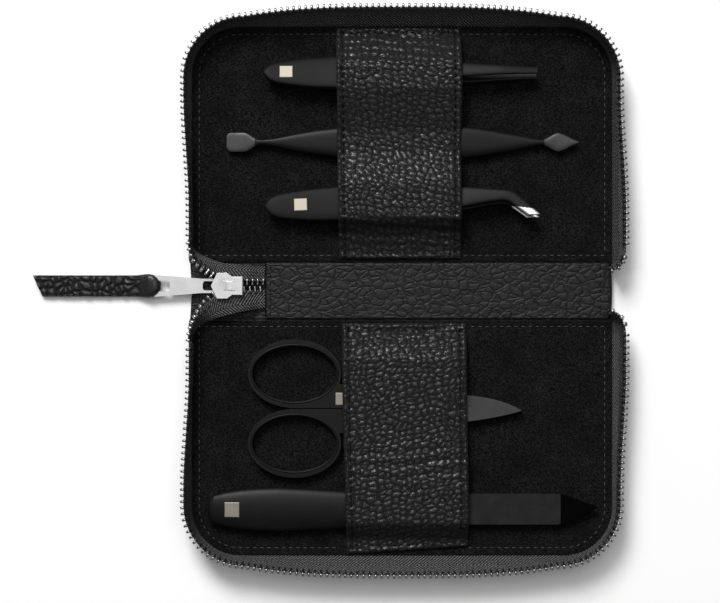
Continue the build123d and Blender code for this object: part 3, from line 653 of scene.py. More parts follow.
# %% Dressing helpers
def second_finish(obj, name, chosen):
    """Give the faces whose middles pass the test chosen(points in mm) another finish."""
    obj.data.materials.append(finishes[name])
    middle = np.zeros(len(obj.data.polygons) * 3)
    obj.data.polygons.foreach_get("center", middle)
    index = np.zeros(len(obj.data.polygons), np.int32)
    obj.data.polygons.foreach_get("material_index", index)
    index[chosen(middle.reshape(-1, 3) * 1000)] = len(obj.data.materials) - 1
    obj.data.polygons.foreach_set("material_index", index)
    obj.data.update()


def dress(obj, name, body=None, replaces=()):
    """Give a piece its finish, its body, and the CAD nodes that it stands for."""
    obj.data.materials.clear()
    obj.data.materials.append(finishes[name])
    if body:
        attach(obj, body)
    if replaces:
        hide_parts(*replaces)
    return obj


print("dressing helpers ready")

# %% [markdown]
# ## Outlines
# Both halves share one plan: up the left side from the crease, round a corner, along the far side, round
# the other corner and back down. The lining, the cover and the zip all follow it at different reaches.

# %% Outlines of a half
def plan_line(left, right, top, bow, radius, start, count=700):
    """Evenly spaced points of a half's outline: two sides, two quarter circles and a bowed far side."""
    quarter = np.linspace(0, math.pi / 2, 60)[1:-1]
    side = np.linspace(start, top - radius, 60)
    across = np.linspace(left + radius, right - radius, 200)
    middle, half = (left + right) / 2, (right - left) / 2 - radius
    bowed = top + bow * (1 - np.abs((across - middle) / half) ** 3)
    c, s = radius * np.cos(quarter), radius * np.sin(quarter)
    parts = [
        (np.full(60, left), side), (left + radius - c, top - radius + s), (across, bowed),
        (right - radius + s, top - radius + c), (np.full(60, right), side[::-1]),
    ]
    line, _ = resample(np.concatenate([np.stack(part, axis=1) for part in parts]), count)
    return smooth_line(line, 9)


def foot_line(grow, start, count=700):
    """Outline of the lining's edge, grown outwards by grow."""
    return plan_line(-half_l - grow, half_l + grow, far + grow, 0.0, corner_r + grow, start, count)


lean = {"left": 2.1, "right": 1.7, "far": 2.4, "bow": 3.1, "corner": 20.0, "near": 1.8, "curl": 1.05}
near_from, near_reach, curl_from, curl_reach = 66, 40, 14.0, 4.3


def zip_line(grow, start, count=700):
    """Outline of the tape's toothed edge: it leans outwards, and curls in to the spine at the right."""
    line = plan_line(
        -half_l - lean["left"] - grow, half_l + lean["right"] + grow, far + lean["far"] + grow, lean["bow"],
        lean["corner"], start, count,
    )
    near = np.clip((near_from - line[:, 1]) / near_reach, 0, 1)
    line[:, 0] += lean["near"] * near * near * (3 - 2 * near)
    curl = np.clip((curl_from - line[:, 1]) / curl_reach, 0, None) * (line[:, 0] > 0)
    line[:, 0] -= lean["curl"] * curl**2
    return line


print("zip row length", round(float(resample(zip_line(0, crease), 700)[1][-1]), 1), "mm")


def flip(points, side):
    """The same points for the upper half (side 1) or, mirrored across the spine, the lower (-1)."""
    return points * np.array([1, side, 1])


# %% [markdown]
# ## Outer cover
# On the real case the cover is one piece of leather that folds round the spine at both creases. It is made
# as two pieces that meet under the middle of the spine. Its edge is turned, so the section has round
# corners.

# %% Cover
cover_reach = 1.3
spine_end = half_l - 0.3
cover_points, cover_bottom = 460, 160


def cover(side, name):
    """Slab of leather: rings from the middle of its underside, round its turned edge, to the top."""
    edge = foot_line(cover_reach, crease - 0.6, 420)
    neck_x = spine_end + 0.35 * np.sin(np.linspace(0, math.pi / 2, 24))
    neck_y = np.linspace(crease - 1.2, 0, 24)
    left = np.stack([-neck_x[::-1], neck_y[::-1]], axis=1)
    outline = np.concatenate([left, edge, np.stack([neck_x, neck_y], axis=1)])
    outline, _ = resample(smooth_line(outline, 7), cover_points)
    bottom_x = np.linspace(outline[-1, 0], outline[0, 0], cover_bottom)[1:-1]
    loop = np.concatenate([outline, np.stack([bottom_x, 0 * bottom_x], axis=1)])
    middle = np.array([0.0, far * 0.5])
    shrink = np.concatenate([[0.02, 0.2, 0.4, 0.55], np.linspace(0.66, 0.985, 34)])
    outward = unit(loop - middle)
    outward[cover_points:] = 0
    rings = [at_height(middle + (loop - middle) * k, 0.0) for k in shrink]
    for angle in np.linspace(-math.pi / 2, math.pi / 2, 7):
        spot = loop + outward * (leather_t / 2) * (math.cos(angle) - 1)
        rings.append(at_height(spot, leather_t / 2 * (1 + math.sin(angle))))
    rings += [at_height(middle + (loop - middle) * k, leather_t) for k in shrink[::-1]]
    obj = tube(f"cover_{name}", flip(np.array(rings), side))
    dress(obj, "cover_leather", replaces=(f"{name}_leather",))
    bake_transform(obj)
    return obj


covers = [cover(*half) for half in sides]
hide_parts("spine_leather")
print("cover faces", [len(c.data.polygons) for c in covers])

# %% [markdown]
# ## Suede lining
# Each lining is a sheet of microfibre suede glued to its board. It is nearly flat, with a faint waviness,
# and its edge is stitched down 2.4 mm from the tape, where the thread pulls a shallow groove.

# %% Lining
groove_at, rim_y = 2.4, crease + 0.15


def lining(side, name):
    """Rings from the middle to the edge: height = face + waves - groove at the stitches - rolled edge."""
    edge = foot_line(0.0, rim_y, 560)
    close = np.stack([np.linspace(half_l, -half_l, 150)[1:-1], np.full(148, rim_y)], axis=1)
    loop = np.concatenate([edge, close])
    middle = np.array([0.0, (crease + far) / 2])
    size = np.array([half_l, (far - crease) / 2])
    near = [0, 0.15, 0.5, 1.0, 1.6, 2.0, 2.4, 2.8, 3.2, 4.0, 6.0]
    insets = np.concatenate([near, np.linspace(9, 36, 10)])
    rings = []
    for inset in insets[::-1]:
        spot = middle + (loop - middle) * np.maximum(1 - inset / size, 0.02)
        waves = 0.16 * (field(spot[:, 0] / 11 + 5, spot[:, 1] / 9 + 3) - 0.5)
        groove = 0.3 * math.exp(-(((inset - groove_at) / 0.7) ** 2))
        roll = 0.25 * max(0.0, 1 - inset / 0.5) ** 2
        rings.append(at_height(spot, fold_z + waves * min(1, inset / 3) - groove - roll))
    rings += [at_height(loop, lining_z), at_height(middle + (loop - middle) * 0.5, lining_z)]
    obj = tube(f"{name}_suede", flip(np.array(rings), side))
    return dress(obj, "suede", f"{name}_half", (f"{name}_lining",))


def board(side, name):
    """Thin slab under a lining: the lining's outline 0.2 mm smaller, from the cover up to the lining."""
    edge = foot_line(-0.2, crease + 0.35, 240)
    middle = np.array([0.0, (crease + far) / 2])
    levels = ((0.5, leather_t), (1, leather_t), (1, lining_z), (0.5, lining_z))
    rings = [at_height(middle + (edge - middle) * k, z) for k, z in levels]
    obj = tube(f"{name}_stiffener", flip(np.array(rings), side), smooth=False)
    return dress(obj, "board", f"{name}_half", (f"{name}_board",))


linings = [lining(*half) for half in sides]
boards = [board(*half) for half in sides]
print("lining faces", [len(x.data.polygons) for x in linings], "board faces", len(boards[0].data.polygons))

# %% [markdown]
# ## Zip tape
# The tape is sewn in under the lining and stands up round it, leaning outwards. It is a ruled sheet from
# its foot to its toothed edge, with a soft belly, and the teeth grip its free edge.

# %% Tape walls
tape_t, tape_w = 0.55, 10.0
wall_start, foot_out, edge_below, belly_out = crease + 0.2, 0.45, 0.2, 0.9


def wall_grid(start_left, rows=900, cols=14):
    """Point = foot + (edge - foot) * share + belly * sin(pi * share), for each place along the tape."""
    foot = foot_line(foot_out, wall_start, rows)
    edge = zip_line(0.0, wall_start, rows)
    share = np.linspace(0, 1, cols)[None, :, None]
    base = at_height(foot, leather_t - 0.05)[:, None, :]
    top = at_height(edge, tape_top - edge_below)[:, None, :]
    outward = unit((top - base) * np.array([1, 1, 0]))
    s = np.arange(rows)[:, None, None] / 9.0
    belly = 0.5 + 0.5 * field(s, share * 2.0)
    grid = base + (top - base) * share + outward * belly * np.sin(np.pi * share) * belly_out
    keep = (edge[:, 1] > start_left) | (edge[:, 0] > 0)
    return grid[keep]


def tape_wall(side, name):
    """Woven sheet on that grid. Its UV map holds millimetres along and across the tape."""
    grid = flip(wall_grid(crease + tail_start), side)
    across = np.linspace(0, tape_w, grid.shape[1])
    uv = np.stack(np.meshgrid(distances(grid[:, -1]), across, indexing="ij"), axis=-1)
    obj = sheet_solid(f"{name}_tape", grid, tape_t * side, uv, grid_normals(grid))
    return dress(obj, "zip_cloth", f"{name}_half", (f"{name}_zip_tape",))


walls = [tape_wall(*half) for half in sides]
print("tape faces", [len(w.data.polygons) for w in walls])

# %% [markdown]
# ## Zip teeth
# Each tooth is a small casting clamped over the tape's edge: two legs that hug the cloth and a rounded
# head with a hollow that the opposite tooth's head drops into. One low shape of a few dozen faces is
# repeated at an even pitch, and the two rows are half a pitch out of step, so that they can mesh.

# %% One tooth
def tooth_shape():
    """Rings of an eight-sided superellipse, widths along and across changing with height."""
    turn = angles(8) + math.pi / 8
    rounded = np.stack([np.cos(turn), np.sin(turn)], axis=1)
    rounded = np.sign(rounded) * np.abs(rounded) ** 0.6
    profile = [
        (-1.3, 0.38, 0.95), (-0.2, 0.42, 1.1), (0.35, 0.34, 0.85), (0.8, 0.46, 0.8), (1.25, 0.46, 0.75),
        (1.6, 0.3, 0.5),
    ]
    points, faces = capped(np.array([at_height(rounded * (a, b), z) for z, a, b in profile]))
    points[-2:] = [[0, 0, -1.4], [0, 0, 1.45]]
    return points, faces


tooth_lean = 0.3
tooth_points, tooth_faces = tooth_shape()
print("tooth faces", len(tooth_faces))


def put_teeth(name, places):
    """One mesh of teeth at the given axes and origins."""
    return copies(name, tooth_points, tooth_faces, places)


# %% [markdown]
# A row follows the wall's toothed edge, and every tooth leans outwards with the tape. On a real zip a
# machine clamps the teeth on at one exact pitch, so here they are counted out and not scattered.

# %% Rows of teeth on the walls
def tooth_row(side, name):
    """Teeth at every pitch along the toothed edge, from the tail to the stop near the other crease."""
    edge, at = resample(zip_line(0.0, rim_y, 1400), 4000)
    shift = 0.5 if side > 0 else 1.0
    count = int((at[-1] - tail_start - 1.8) // tooth_pitch) - 1
    spots = tail_start + (np.arange(count) + shift) * tooth_pitch
    points = flip(at_height(read_at(spots, at, edge), tape_top), side)
    outward = unit(np.cross(np.gradient(points, axis=0), z_up) * -side)
    obj = put_teeth(f"{name}_teeth_row", frames_along(points, z_up + outward * tooth_lean))
    dress(obj, "tooth_nickel", f"{name}_half", (f"{name}_zip_teeth",))
    return count


print("teeth", [tooth_row(*half) for half in sides])

# %% [markdown]
# ## Spine patch
# The inside of the spine is covered by a strip of finer, flatter leather glued over the creases. It is
# stitched near its two ends, and its right end bows outwards a little.

# %% Spine patch
patch_low, patch_high = node_box("spine_patch")
right_bow, bow_from = 0.55, 60


def patch():
    """Top grid of a strip with rounded long edges: height = face - roll at the edges + faint waves."""
    inset = np.concatenate([[0, 0.1, 0.25, 0.45, 0.7, 1.1], np.linspace(1.8, 9, 12)])
    low, high = patch_low, patch_high
    y = np.concatenate([low[1] + inset, (high[1] - inset)[::-1]])
    share = np.linspace(0, 1, 150)
    x = low[0] + (high[0] - low[0]) * share
    x, y = np.meshgrid(x, y, indexing="ij")
    middle = (low[1] + high[1]) / 2
    near_end = np.minimum(x - low[0], high[0] - x)
    near_side = np.minimum(y - low[1], high[1] - y)
    bow = right_bow * ((y - middle) / (high[1] - middle)) ** 2 * np.clip((x - bow_from) / 12, 0, 1)
    roll = 0.3 * np.clip(1 - np.minimum(near_end, near_side) / 0.5, 0, 1) ** 2
    waves = 0.12 * (field(x / 9, y / 5 + 2) - 0.6)
    top = np.stack([x - bow, y, high[2] + waves * np.clip(near_side, 0, 1) - roll], axis=-1)
    obj = sheet_solid("inner_patch", top, high[2] - low[2] - 0.15, np.stack([x, y], axis=-1))
    return dress(obj, "spine_leather", "spine", ("spine_patch",))


spine_patch = patch()
print("patch faces", len(spine_patch.data.polygons))

# %% [markdown]
# ## Leather bands
# A band of thick pebbled leather is sewn down at its two ends and drapes over the tools between them. Its
# line along Y is a smoothed polyline that passes over each tool, and the leather sags a little between.
# Wrinkles run across it near the ends, where it is pulled down.

# %% Plans of the bands
band_t, band_w = 1.15, 41.0
seam_in, seam_pitch, seam_sunk = 2.1, 2.5, 0.22
band_plans = {
    "upper": {
        "x": -1.0, "end": 87.7, "slant": 0.0,
        "line": [(10.7, 3.7), (13.2, 3.8), (19.6, 6.6), (23.9, 12.2), (35.4, 12.3), (45.8, 8.25),
                 (53.0, 8.25), (66.4, 13.0), (74.9, 13.0), (85.0, 3.7), (87.7, 3.7)],
        "wrinkles": [(80.0, 0.45, 2.6), (19.5, 0.3, 2.8)],
    },
    "lower": {
        "x": 0.8, "end": 87.6, "slant": 2.6,
        "line": [(10.7, 3.7), (13.4, 3.7), (22.2, 8.3), (45.2, 8.2), (66.6, 9.22), (76.9, 9.22),
                 (82.4, 3.9), (84.5, 3.7), (87.7, 3.7)],
        "wrinkles": [(16.0, 0.3, 3.0), (57.0, 0.24, 4.2)],
    },
}
print("bands planned", list(band_plans))

# %% [markdown]
# The pebbles and the wrinkles are large enough to catch the light on their own sides, so they are in the
# mesh and not only in the finish. The leather is pressed down at each stitch and rolled over at its rim.

# %% Bands
def band_pebbles(x, y):
    """Pebbles about 2 mm across, their lattice sheared and bent, so that no row of them runs straight."""
    bend_x, bend_y = field(x / 6 + 11, y / 6), field(x / 6 + 30, y / 6 + 17)
    return pebbles(x / 2.4 + 0.8 * bend_x, y / 1.8 + 0.8 * bend_y + 0.25 * x / 1.8)


def band_surface(plan, x, y):
    """Height over (x, y) = smoothed line over the tools + wrinkles + pebbles - droop to both sides."""
    far_y = np.linspace(plan["line"][0][0], plan["end"], 800)
    line = smooth_line(np.interp(far_y, *np.array(plan["line"]).T), 25)
    height = np.interp(y, far_y, line)
    across = (x - plan["x"]) / (band_w / 2)
    height = height - 0.22 * across**4
    for centre, depth, pitch in plan["wrinkles"]:
        slope = y + 1.5 * across + 1.8 * field(x / 9 + centre, y / 14)
        wave = np.sin(2 * math.pi * slope / pitch) * (0.4 + 0.6 * field(x / 7 + 9, y / 6 + centre))
        height = height + depth * wave * np.exp(-(((y - centre) / 6.5) ** 2))
    return height + 0.34 * (band_pebbles(x, y) - 0.7)


def band(side, name):
    """Grid across and along the strip, its left edge askew, closed below at the leather's thickness.
    Its height adds a pit at each stitch, a low swell inside the rim, and a rolled edge."""
    plan = band_plans[name]
    edge = np.array([0, 0.08, 0.2, 0.38, 0.6])
    inner = np.arange(0.9, band_w - 0.8, 0.3)
    across = np.concatenate([edge, inner, (band_w - edge)[::-1]])
    start, end = plan["line"][0][0] + 0.05, plan["end"]
    along = np.concatenate([edge, np.arange(0.9, end - start - 0.8, 0.3), (end - start - edge)[::-1]])
    across, along = np.meshgrid(across, along, indexing="xy")
    share = along / (end - start)
    y = start + along - plan["slant"] * share**3 * across / band_w
    skew = (share - 0.5) * 1.2 * (1 - across / band_w)
    if side < 0:
        skew = (0.5 - share) * (1 - across / band_w) - share * 0.7
    x = plan["x"] - band_w / 2 + across - skew + 0.25 * (field(y / 12, across * 0 + 4) - 0.5)
    z = band_surface(plan, x, y)
    from_side = np.minimum(across, band_w - across)
    rim = np.minimum(from_side, np.minimum(along, end - start - along))
    pull = 0.55 + 0.45 * np.cos(2 * math.pi * along / seam_pitch)
    pits = np.exp(-(((from_side - seam_in) / 0.5) ** 2)) * pull
    z = z - 0.45 * pits + 0.2 * np.exp(-(((rim - 0.9) / 0.4) ** 2))
    z = z - 0.5 * np.clip(1 - rim / 0.6, 0, 1) ** 2
    top = flip(np.stack([x, y, z], axis=-1), side)
    obj = sheet_solid(f"{name}_strap", top, band_t - 0.2, np.stack([across, along], axis=-1))
    # Painted shade: the colour darkens in the pebbles' creases and in the pits at the stitches.
    cells = np.clip(band_pebbles(x, y) * (1 - 0.9 * pits), 0, 1)
    paint_crease_shade(obj, np.concatenate([cells, cells[:, ::-1]], axis=1).ravel())
    return dress(obj, "band_leather", f"{name}_half", (f"{name}_band",))


bands = [band(*half) for half in sides]
print("band faces", [len(b.data.polygons) for b in bands])

# %% [markdown]
# ## Sewing
# Every seam is a row of short lock stitches. One stitch is a hexagonal thread whose ends dive into the
# cloth, and it is repeated along the seam's line at an even pitch.

# %% One stitch and a seam
def stitch_shape(length, radius):
    """Bent capsule: centre height = radius * (0.9 - 2.2 * (2x / length)^2), hexagon round it."""
    x = np.array([-1, -0.7, -0.3, 0.3, 0.7, 1]) * length / 2
    lift = radius * (0.9 - 2.2 * (2 * x / length) ** 2)
    turn, x = angles(6), x[:, None]
    y, z = radius * np.cos(turn) + 0 * x, lift[:, None] + radius * np.sin(turn)
    return capped(np.stack([x + 0 * turn, y, z], axis=-1))


def seam(name, line, stitch, material, body, keep=None):
    """Stitches of a (length, radius, pitch) along a polyline. keep may pick some by their places."""
    length, radius, pitch = stitch
    spots, _ = resample(np.asarray(line, float), step=pitch)
    if keep is not None:
        spots = spots[keep(spots)]
    shape, faces = stitch_shape(length, radius)
    obj = copies(name, shape, faces, frames_along(spots, np.broadcast_to(z_up, spots.shape)))
    return dress(obj, material, body)


grey_stitch, band_stitch, spine_stitch = (1.3, 0.13, 2.4), (1.5, 0.17, seam_pitch), (1.5, 0.16, 2.6)
print("stitches", grey_stitch, band_stitch, spine_stitch)

# %% [markdown]
# The linings are sewn all round in grey thread, 2.4 mm inside their edges. Under a band the stitches are
# hidden, so none are made there.

# %% Seams of the linings
def lining_seams(side, name):
    """Grey seam round a lining and along its near edge, left out where the band covers it."""
    plan = band_plans[name]
    inside, near_y, z = half_l - groove_at, crease + 2.2, fold_z - seam_sunk

    def clear(spots):
        """Whether each place lies outside the band."""
        return np.abs(spots[:, 0] - plan["x"]) > band_w / 2 + 1

    round_line = at_height(foot_line(-groove_at, near_y), z)
    near_line = np.array([[-inside, near_y, z], [inside, near_y, z]])
    for part, line in (("round", round_line), ("near", near_line)):
        sewn_line = flip(line, side)
        seam(f"{name}_lining_seam_{part}", sewn_line, grey_stitch, "thread_grey", f"{name}_half", clear)


print("lining seams ready")

# %% [markdown]
# The bands' own seams are black and follow the leather's height. Two more hold the spine's strip down
# near its ends.

# %% Seams of the bands and the spine
def band_seams(side, name):
    """Black seams along a band's two sides and across its two ends, sunk a little into the leather."""
    plan = band_plans[name]
    start, end = plan["line"][0][0], plan["end"]

    def sew(part, x, y, sunk):
        """Seam over the points (x, y) at the band's own height."""
        line = np.stack([x, y, smooth_line(band_surface(plan, x, y), 9) - sunk], axis=1)
        sewn_line = flip(line, side)
        seam(f"{name}_band_seam_{part}", sewn_line, band_stitch, "thread_black", f"{name}_half")

    y = np.linspace(start + 2.2, end - 2.2, 300)
    share = (y - start) / (end - start)
    skew = (share - 0.5) * 1.2 if side > 0 else 0.5 - share - share * 0.7
    for part, across in (("left", seam_in), ("right", band_w - seam_in)):
        x = plan["x"] - band_w / 2 + across + 0 * y
        sew(part, x - skew * (1 - across / band_w), y, seam_sunk)
    x = np.linspace(plan["x"] - 18.2, plan["x"] + 18.2, 200)
    sew("near", x, start + 1.6 + 0 * x, 0.12)
    sew("far", x, end - 1.8 - plan["slant"] / 2 + 0 * x, 0.12)


for half in sides:
    lining_seams(*half)
    band_seams(*half)
for part, x in (("left", patch_low[0] + 1.8), ("right", patch_high[0] - 4.0)):
    z = patch_high[2] - 0.05
    ends = np.array([[x, patch_low[1] + 1.5, z], [x, patch_high[1] - 1.5, z]])
    seam(f"spine_seam_{part}", ends, spine_stitch, "thread_black", "spine")

# %% [markdown]
# ## Metal pieces
# The slider, the pull, the scissors and the file's blade are stamped or cast metal. Their
# exact shapes come from the CAD model. A real edge is never razor sharp: it is tumbled to a small radius
# that catches a line of light. So each is copied, its seams merged, and its edges rounded by a bevel.

# %% Rounded copies
sharp = 28


def rounded(node_name, material, body, radius, cut=None):
    """Copy of a CAD node with merged seams and flat faces joined. Edges that turn by more than sharp
    degrees are bevelled by radius (mm). cut is an x at which its faces are divided, where a second
    finish begins."""
    source = bpy.data.objects[node_name]
    mesh = source.data.copy()
    mesh.transform(source.matrix_world)
    bm = bmesh.new()
    bm.from_mesh(mesh)
    bmesh.ops.remove_doubles(bm, verts=bm.verts, dist=2e-6)
    bmesh.ops.dissolve_limit(bm, angle_limit=math.radians(1), verts=bm.verts, edges=bm.edges)
    if cut is not None:
        parts = list(bm.verts) + list(bm.edges) + list(bm.faces)
        bmesh.ops.bisect_plane(bm, geom=parts, plane_co=(cut / 1000, 0, 0), plane_no=(1, 0, 0), dist=1e-6)
    bm.to_mesh(mesh)
    bm.free()
    mesh.polygons.foreach_set("use_smooth", [True] * len(mesh.polygons))
    if mesh.has_custom_normals:
        mesh.attributes.remove(mesh.attributes["custom_normal"])
    obj = add(f"{node_name}_metal", mesh)
    soften = obj.modifiers.new("edge", "BEVEL")
    soften.width, soften.segments = radius / 1000, 2
    soften.limit_method, soften.angle_limit = "ANGLE", math.radians(sharp)
    soften.harden_normals = True
    soften.use_clamp_overlap = True
    return dress(obj, material, body, (node_name,))


blade_high = node_box("file_blade")[1]
tip_from, edge_from = blade_high[0] - 12.6, 19.5
pieces = [
    ("slider_body", "nickel", "slider", 0.3), ("zip_pull", "nickel", "pull", 0.35),
    ("scissors_lower_half", "black_steel", "scissors", 0.5),
    ("scissors_upper_half", "black_steel", "scissors_arm", 0.5),
    ("scissors_screw", "black_steel", "scissors", 0.1), ("file_blade", "grit_steel", "nail_file", 0.08),
]
cuts = {"scissors_lower_half": edge_from, "scissors_upper_half": edge_from, "file_blade": tip_from}
metal = {piece[0]: rounded(*piece, cut=cuts.get(piece[0])) for piece in pieces}
for half in ("scissors_lower_half", "scissors_upper_half"):
    second_finish(metal[half], "ground_steel", lambda p: p[:, 0] > edge_from)
second_finish(metal["file_blade"], "polished_black", lambda p: p[:, 0] > tip_from)
print("rounded pieces", len(pieces))

# %% [markdown]
# Inside each finger loop a thin raised lip is left by the tool that ground the loop. It is a slim ring
# that follows the loop's oval, a little way in from its inner edge.

# %% Lips of the finger loops
loop_x, loop_y = 15.5, 11.4
lip_x, lip_y = 13.96, 9.2


def lip(name, body, way):
    """Ring point = oval point at angle a + (out * half width * cos t, half height * sin t)."""
    low, high = node_box(name)
    middle = np.array([low[0] + loop_x, high[1] - loop_y if way > 0 else low[1] + loop_y])
    angle, turn = angles(120)[:, None], angles(8)[None, :]
    c, s = np.cos(angle), np.sin(angle)
    grow = 0.42 + 0.38 * np.cos(turn)
    z = high[2] - 0.12 + 0.42 * np.sin(turn) + 0 * c
    rings = np.stack([middle[0] + (lip_x + grow) * c, middle[1] + (lip_y + grow) * s, z], axis=-1)
    points, faces = rings.reshape(-1, 3), grid_faces(120, 8, closed_rows=True, closed_cols=True)
    obj = new_mesh(f"{name}_lip", points, faces.tolist())
    face_out(obj)
    return dress(obj, "black_steel", body)


lips = [lip("scissors_lower_half", "scissors", -1), lip("scissors_upper_half", "scissors_arm", 1)]
print("lips", len(lips))

# %% [markdown]
# ## Forged bars
# The cuticle tool and the file's handle are forged: their sections change all the way along, from a flat
# spade through an oval grip to a bevelled point. Each is a chain of superellipse sections whose widths,
# heights and squareness follow a few measured stations.

# %% Bars
def bar(name, stations, y_mid, rim=0.0, around=48, count=300):
    """Section point = (half width * c^(2/n), half height * s^(2/n)) at angle t, with c = cos t, s = sin t.

    stations lists (x, half width, half height, n, sideways shift, height of the middle). The underside is
    wider by rim, so that a thin edge shows beyond the rounded top."""
    stations = np.array(stations)
    share = np.linspace(0, 1, count)
    share = share - 0.8 * np.sin(2 * np.pi * share) / (2 * np.pi)
    x = stations[0, 0] + share * (stations[-1, 0] - stations[0, 0])
    width, height, power, shift, z = (
        smooth_line(np.interp(x, stations[:, 0], stations[:, i]), 9) for i in range(1, 6)
    )
    c, s = np.cos(angles(around))[None, :], np.sin(angles(around))[None, :]
    power = power[:, None]
    grown = width[:, None] + rim * np.clip(-s * 6 - 1.2, 0, 1) * np.clip(height[:, None] - 0.8, 0, 1)
    y = y_mid + shift[:, None] + grown * squared(c, power)
    z = z[:, None] + height[:, None] * squared(s, power)
    return tube(name, np.stack([x[:, None] + 0 * y, y, z], axis=-1))


print("bar helper ready")

# %% [markdown]
# The cuticle tool is one bar: a thin spade to push with, a grip, and a pointed lancet. Its two ends are
# ground after forging, so they are greyer than the grip.

# %% Cuticle tool
cut_low, cut_high = node_box("cuticle_tool")
cut_mid, cut_z = (cut_low[1] + cut_high[1]) / 2, (cut_low[2] + cut_high[2]) / 2
spade = [
    (0.03, 1.9, 0.28, 3.5, 0, 0.30), (0.3, 2.5, 0.34, 3.5, 0, 0.22), (0.8, 2.95, 0.4, 3.5, 0, 0.1),
    (1.4, 3.17, 0.45, 3.5, 0, 0.0), (3.4, 3.2, 0.5, 3.5, 0, -0.15), (5.8, 3.2, 0.55, 3.5, 0, -0.05),
    (6.8, 3.05, 0.6, 3.2, 0, 0.0), (8.2, 2.2, 0.75, 2.8, 0, 0.0), (9.6, 1.35, 0.9, 2.4, 0, 0.0),
    (10.8, 1.0, 1.0, 2.2, 0, 0.0), (12.2, 1.0, 1.05, 2.2, 0, 0.0),
]
shaft = [
    (16, 1.45, 1.25, 2.4, 0, 0), (22, 2.75, 1.55, 2.8, 0, 0), (30, 4.15, 1.8, 3.0, 0, 0),
    (37, 4.95, 1.88, 3.2, 0, 0), (58, 5.3, 1.9, 3.2, 0, 0), (77.5, 5.3, 1.88, 3.2, 0, 0),
    (84, 4.75, 1.75, 3.0, 0, 0), (90, 3.7, 1.55, 2.8, 0, 0), (96, 2.6, 1.4, 2.6, 0, 0),
    (101.5, 1.45, 1.2, 2.4, 0, 0), (104.5, 1.0, 1.05, 2.2, 0, 0),
]
lancet = [
    (105.6, 1.05, 0.95, 2.0, 0, 0), (107.2, 1.9, 0.8, 2.2, 0, 0), (108.8, 2.8, 0.62, 2.4, 0, 0),
    (109.8, 3.12, 0.52, 2.6, 0, 0), (110.6, 3.05, 0.5, 2.6, 0, 0), (112.5, 2.3, 0.42, 2.4, 0, 0),
    (115, 1.05, 0.32, 2.2, 0, 0), (117.0, 0.16, 0.2, 2.0, 0, 0),
]
along_bar = [(cut_low[0] + x, w, h, n, s, cut_z + z) for x, w, h, n, s, z in spade + shaft + lancet]
cuticle = bar("cuticle_bar", along_bar, cut_mid, rim=0.3)
dress(cuticle, "black_steel", "cuticle_tool", ("cuticle_tool",))
spade_to, point_from = cut_low[0] + 9.2, cut_high[0] - 11.8
second_finish(cuticle, "ground_steel", lambda p: (p[:, 0] < spade_to) | (p[:, 0] > point_from))
print("cuticle tool faces", len(cuticle.data.polygons))

# %% [markdown]
# The file's handle is a slim drop, rounded at the rear and narrower at the blade. Its stations are
# shares of the handle's length, half width and half height, which are read from the frame.

# %% Handle of the file
grip_low, grip_high = node_box("file_handle")
grip_mid, grip_z = (grip_low[1] + grip_high[1]) / 2, (grip_low[2] + grip_high[2]) / 2
grip_w, grip_t = (grip_high[1] - grip_low[1]) / 2, (grip_high[2] - grip_low[2]) / 2
grip_l = grip_high[0] - grip_low[0]
slimming = [
    (0.001, 0.3, 0.3), (0.01, 0.5, 0.5), (0.03, 0.64, 0.64), (0.08, 0.77, 0.8), (0.17, 0.9, 0.92),
    (0.27, 0.97, 0.98), (0.38, 1, 1), (0.55, 0.93, 0.97), (0.75, 0.81, 0.88), (0.97, 0.7, 0.7),
    (1, 0.6, 0.6),
]
grip = bar(
    "file_grip",
    [(grip_low[0] + s * grip_l, grip_w * w, grip_t * t, 2.3, 0, grip_z) for s, w, t in slimming],
    grip_mid,
)
dress(grip, "black_steel", "nail_file", ("file_handle",))
print("handle faces", len(grip.data.polygons))

# %% [markdown]
# ## Spring tweezers
# A pair of tweezers is two strips of spring steel, welded at the rear. Each arm is one surface: a plan
# outline of left and right edges, a bow that carries it away from its partner, and a thickness. The
# moving arm bends smoothly out of the weld, as spring steel does.

# %% Plans of the tweezers
arm_t = 1.2
tweezers_plans = {
    "tweezers": {
        "place": (-45.7, 72.1), "turn": 0.0, "roll": 18.0, "length": 90.4, "spread": 5.8,
        "left": [(0, 0.3), (0.35, 1.3), (0.9, 2.1), (1.9, 2.9), (4.2, 3.7), (8, 4.43), (15, 5.2),
                 (24, 5.72), (34, 5.4), (45, 4.5), (55, 3.5), (66, 2.45), (78, 1.7), (90.3, 1.15)],
        "right": None,
    },
    "angled_tweezers": {
        "place": (-45.2, 27.8), "turn": 2.4, "roll": 13.0, "length": 90.7, "spread": 4.9,
        "left": [(0, 0.3), (0.3, 1.4), (0.8, 2.2), (1.8, 3.0), (4.0, 3.9), (8, 4.6), (15, 5.35),
                 (24, 5.75), (34, 5.65), (45, 5.15), (55, 4.3), (66, 3.4), (74, 2.5), (80.6, 1.75),
                 (82.6, 0.9), (84.6, -1.0), (90.6, -6.95)],
        "right": [(0, -0.3), (0.3, -1.4), (0.8, -2.2), (1.8, -3.0), (4.0, -3.9), (8, -4.6), (15, -5.35),
                  (24, -5.75), (34, -5.65), (45, -5.15), (55, -4.3), (66, -3.3), (73, -2.2), (78.0, -1.75),
                  (79.6, -1.9), (80.8, -2.6), (86.1, -6.95)],
    },
}
print("tweezers planned", list(tweezers_plans))

# %% [markdown]
# Each pair leans a little to one side, so its plan is drawn in its own directions first, and then leaned
# and turned into place. A section is nearly a rectangle with soft corners and a slight crown.

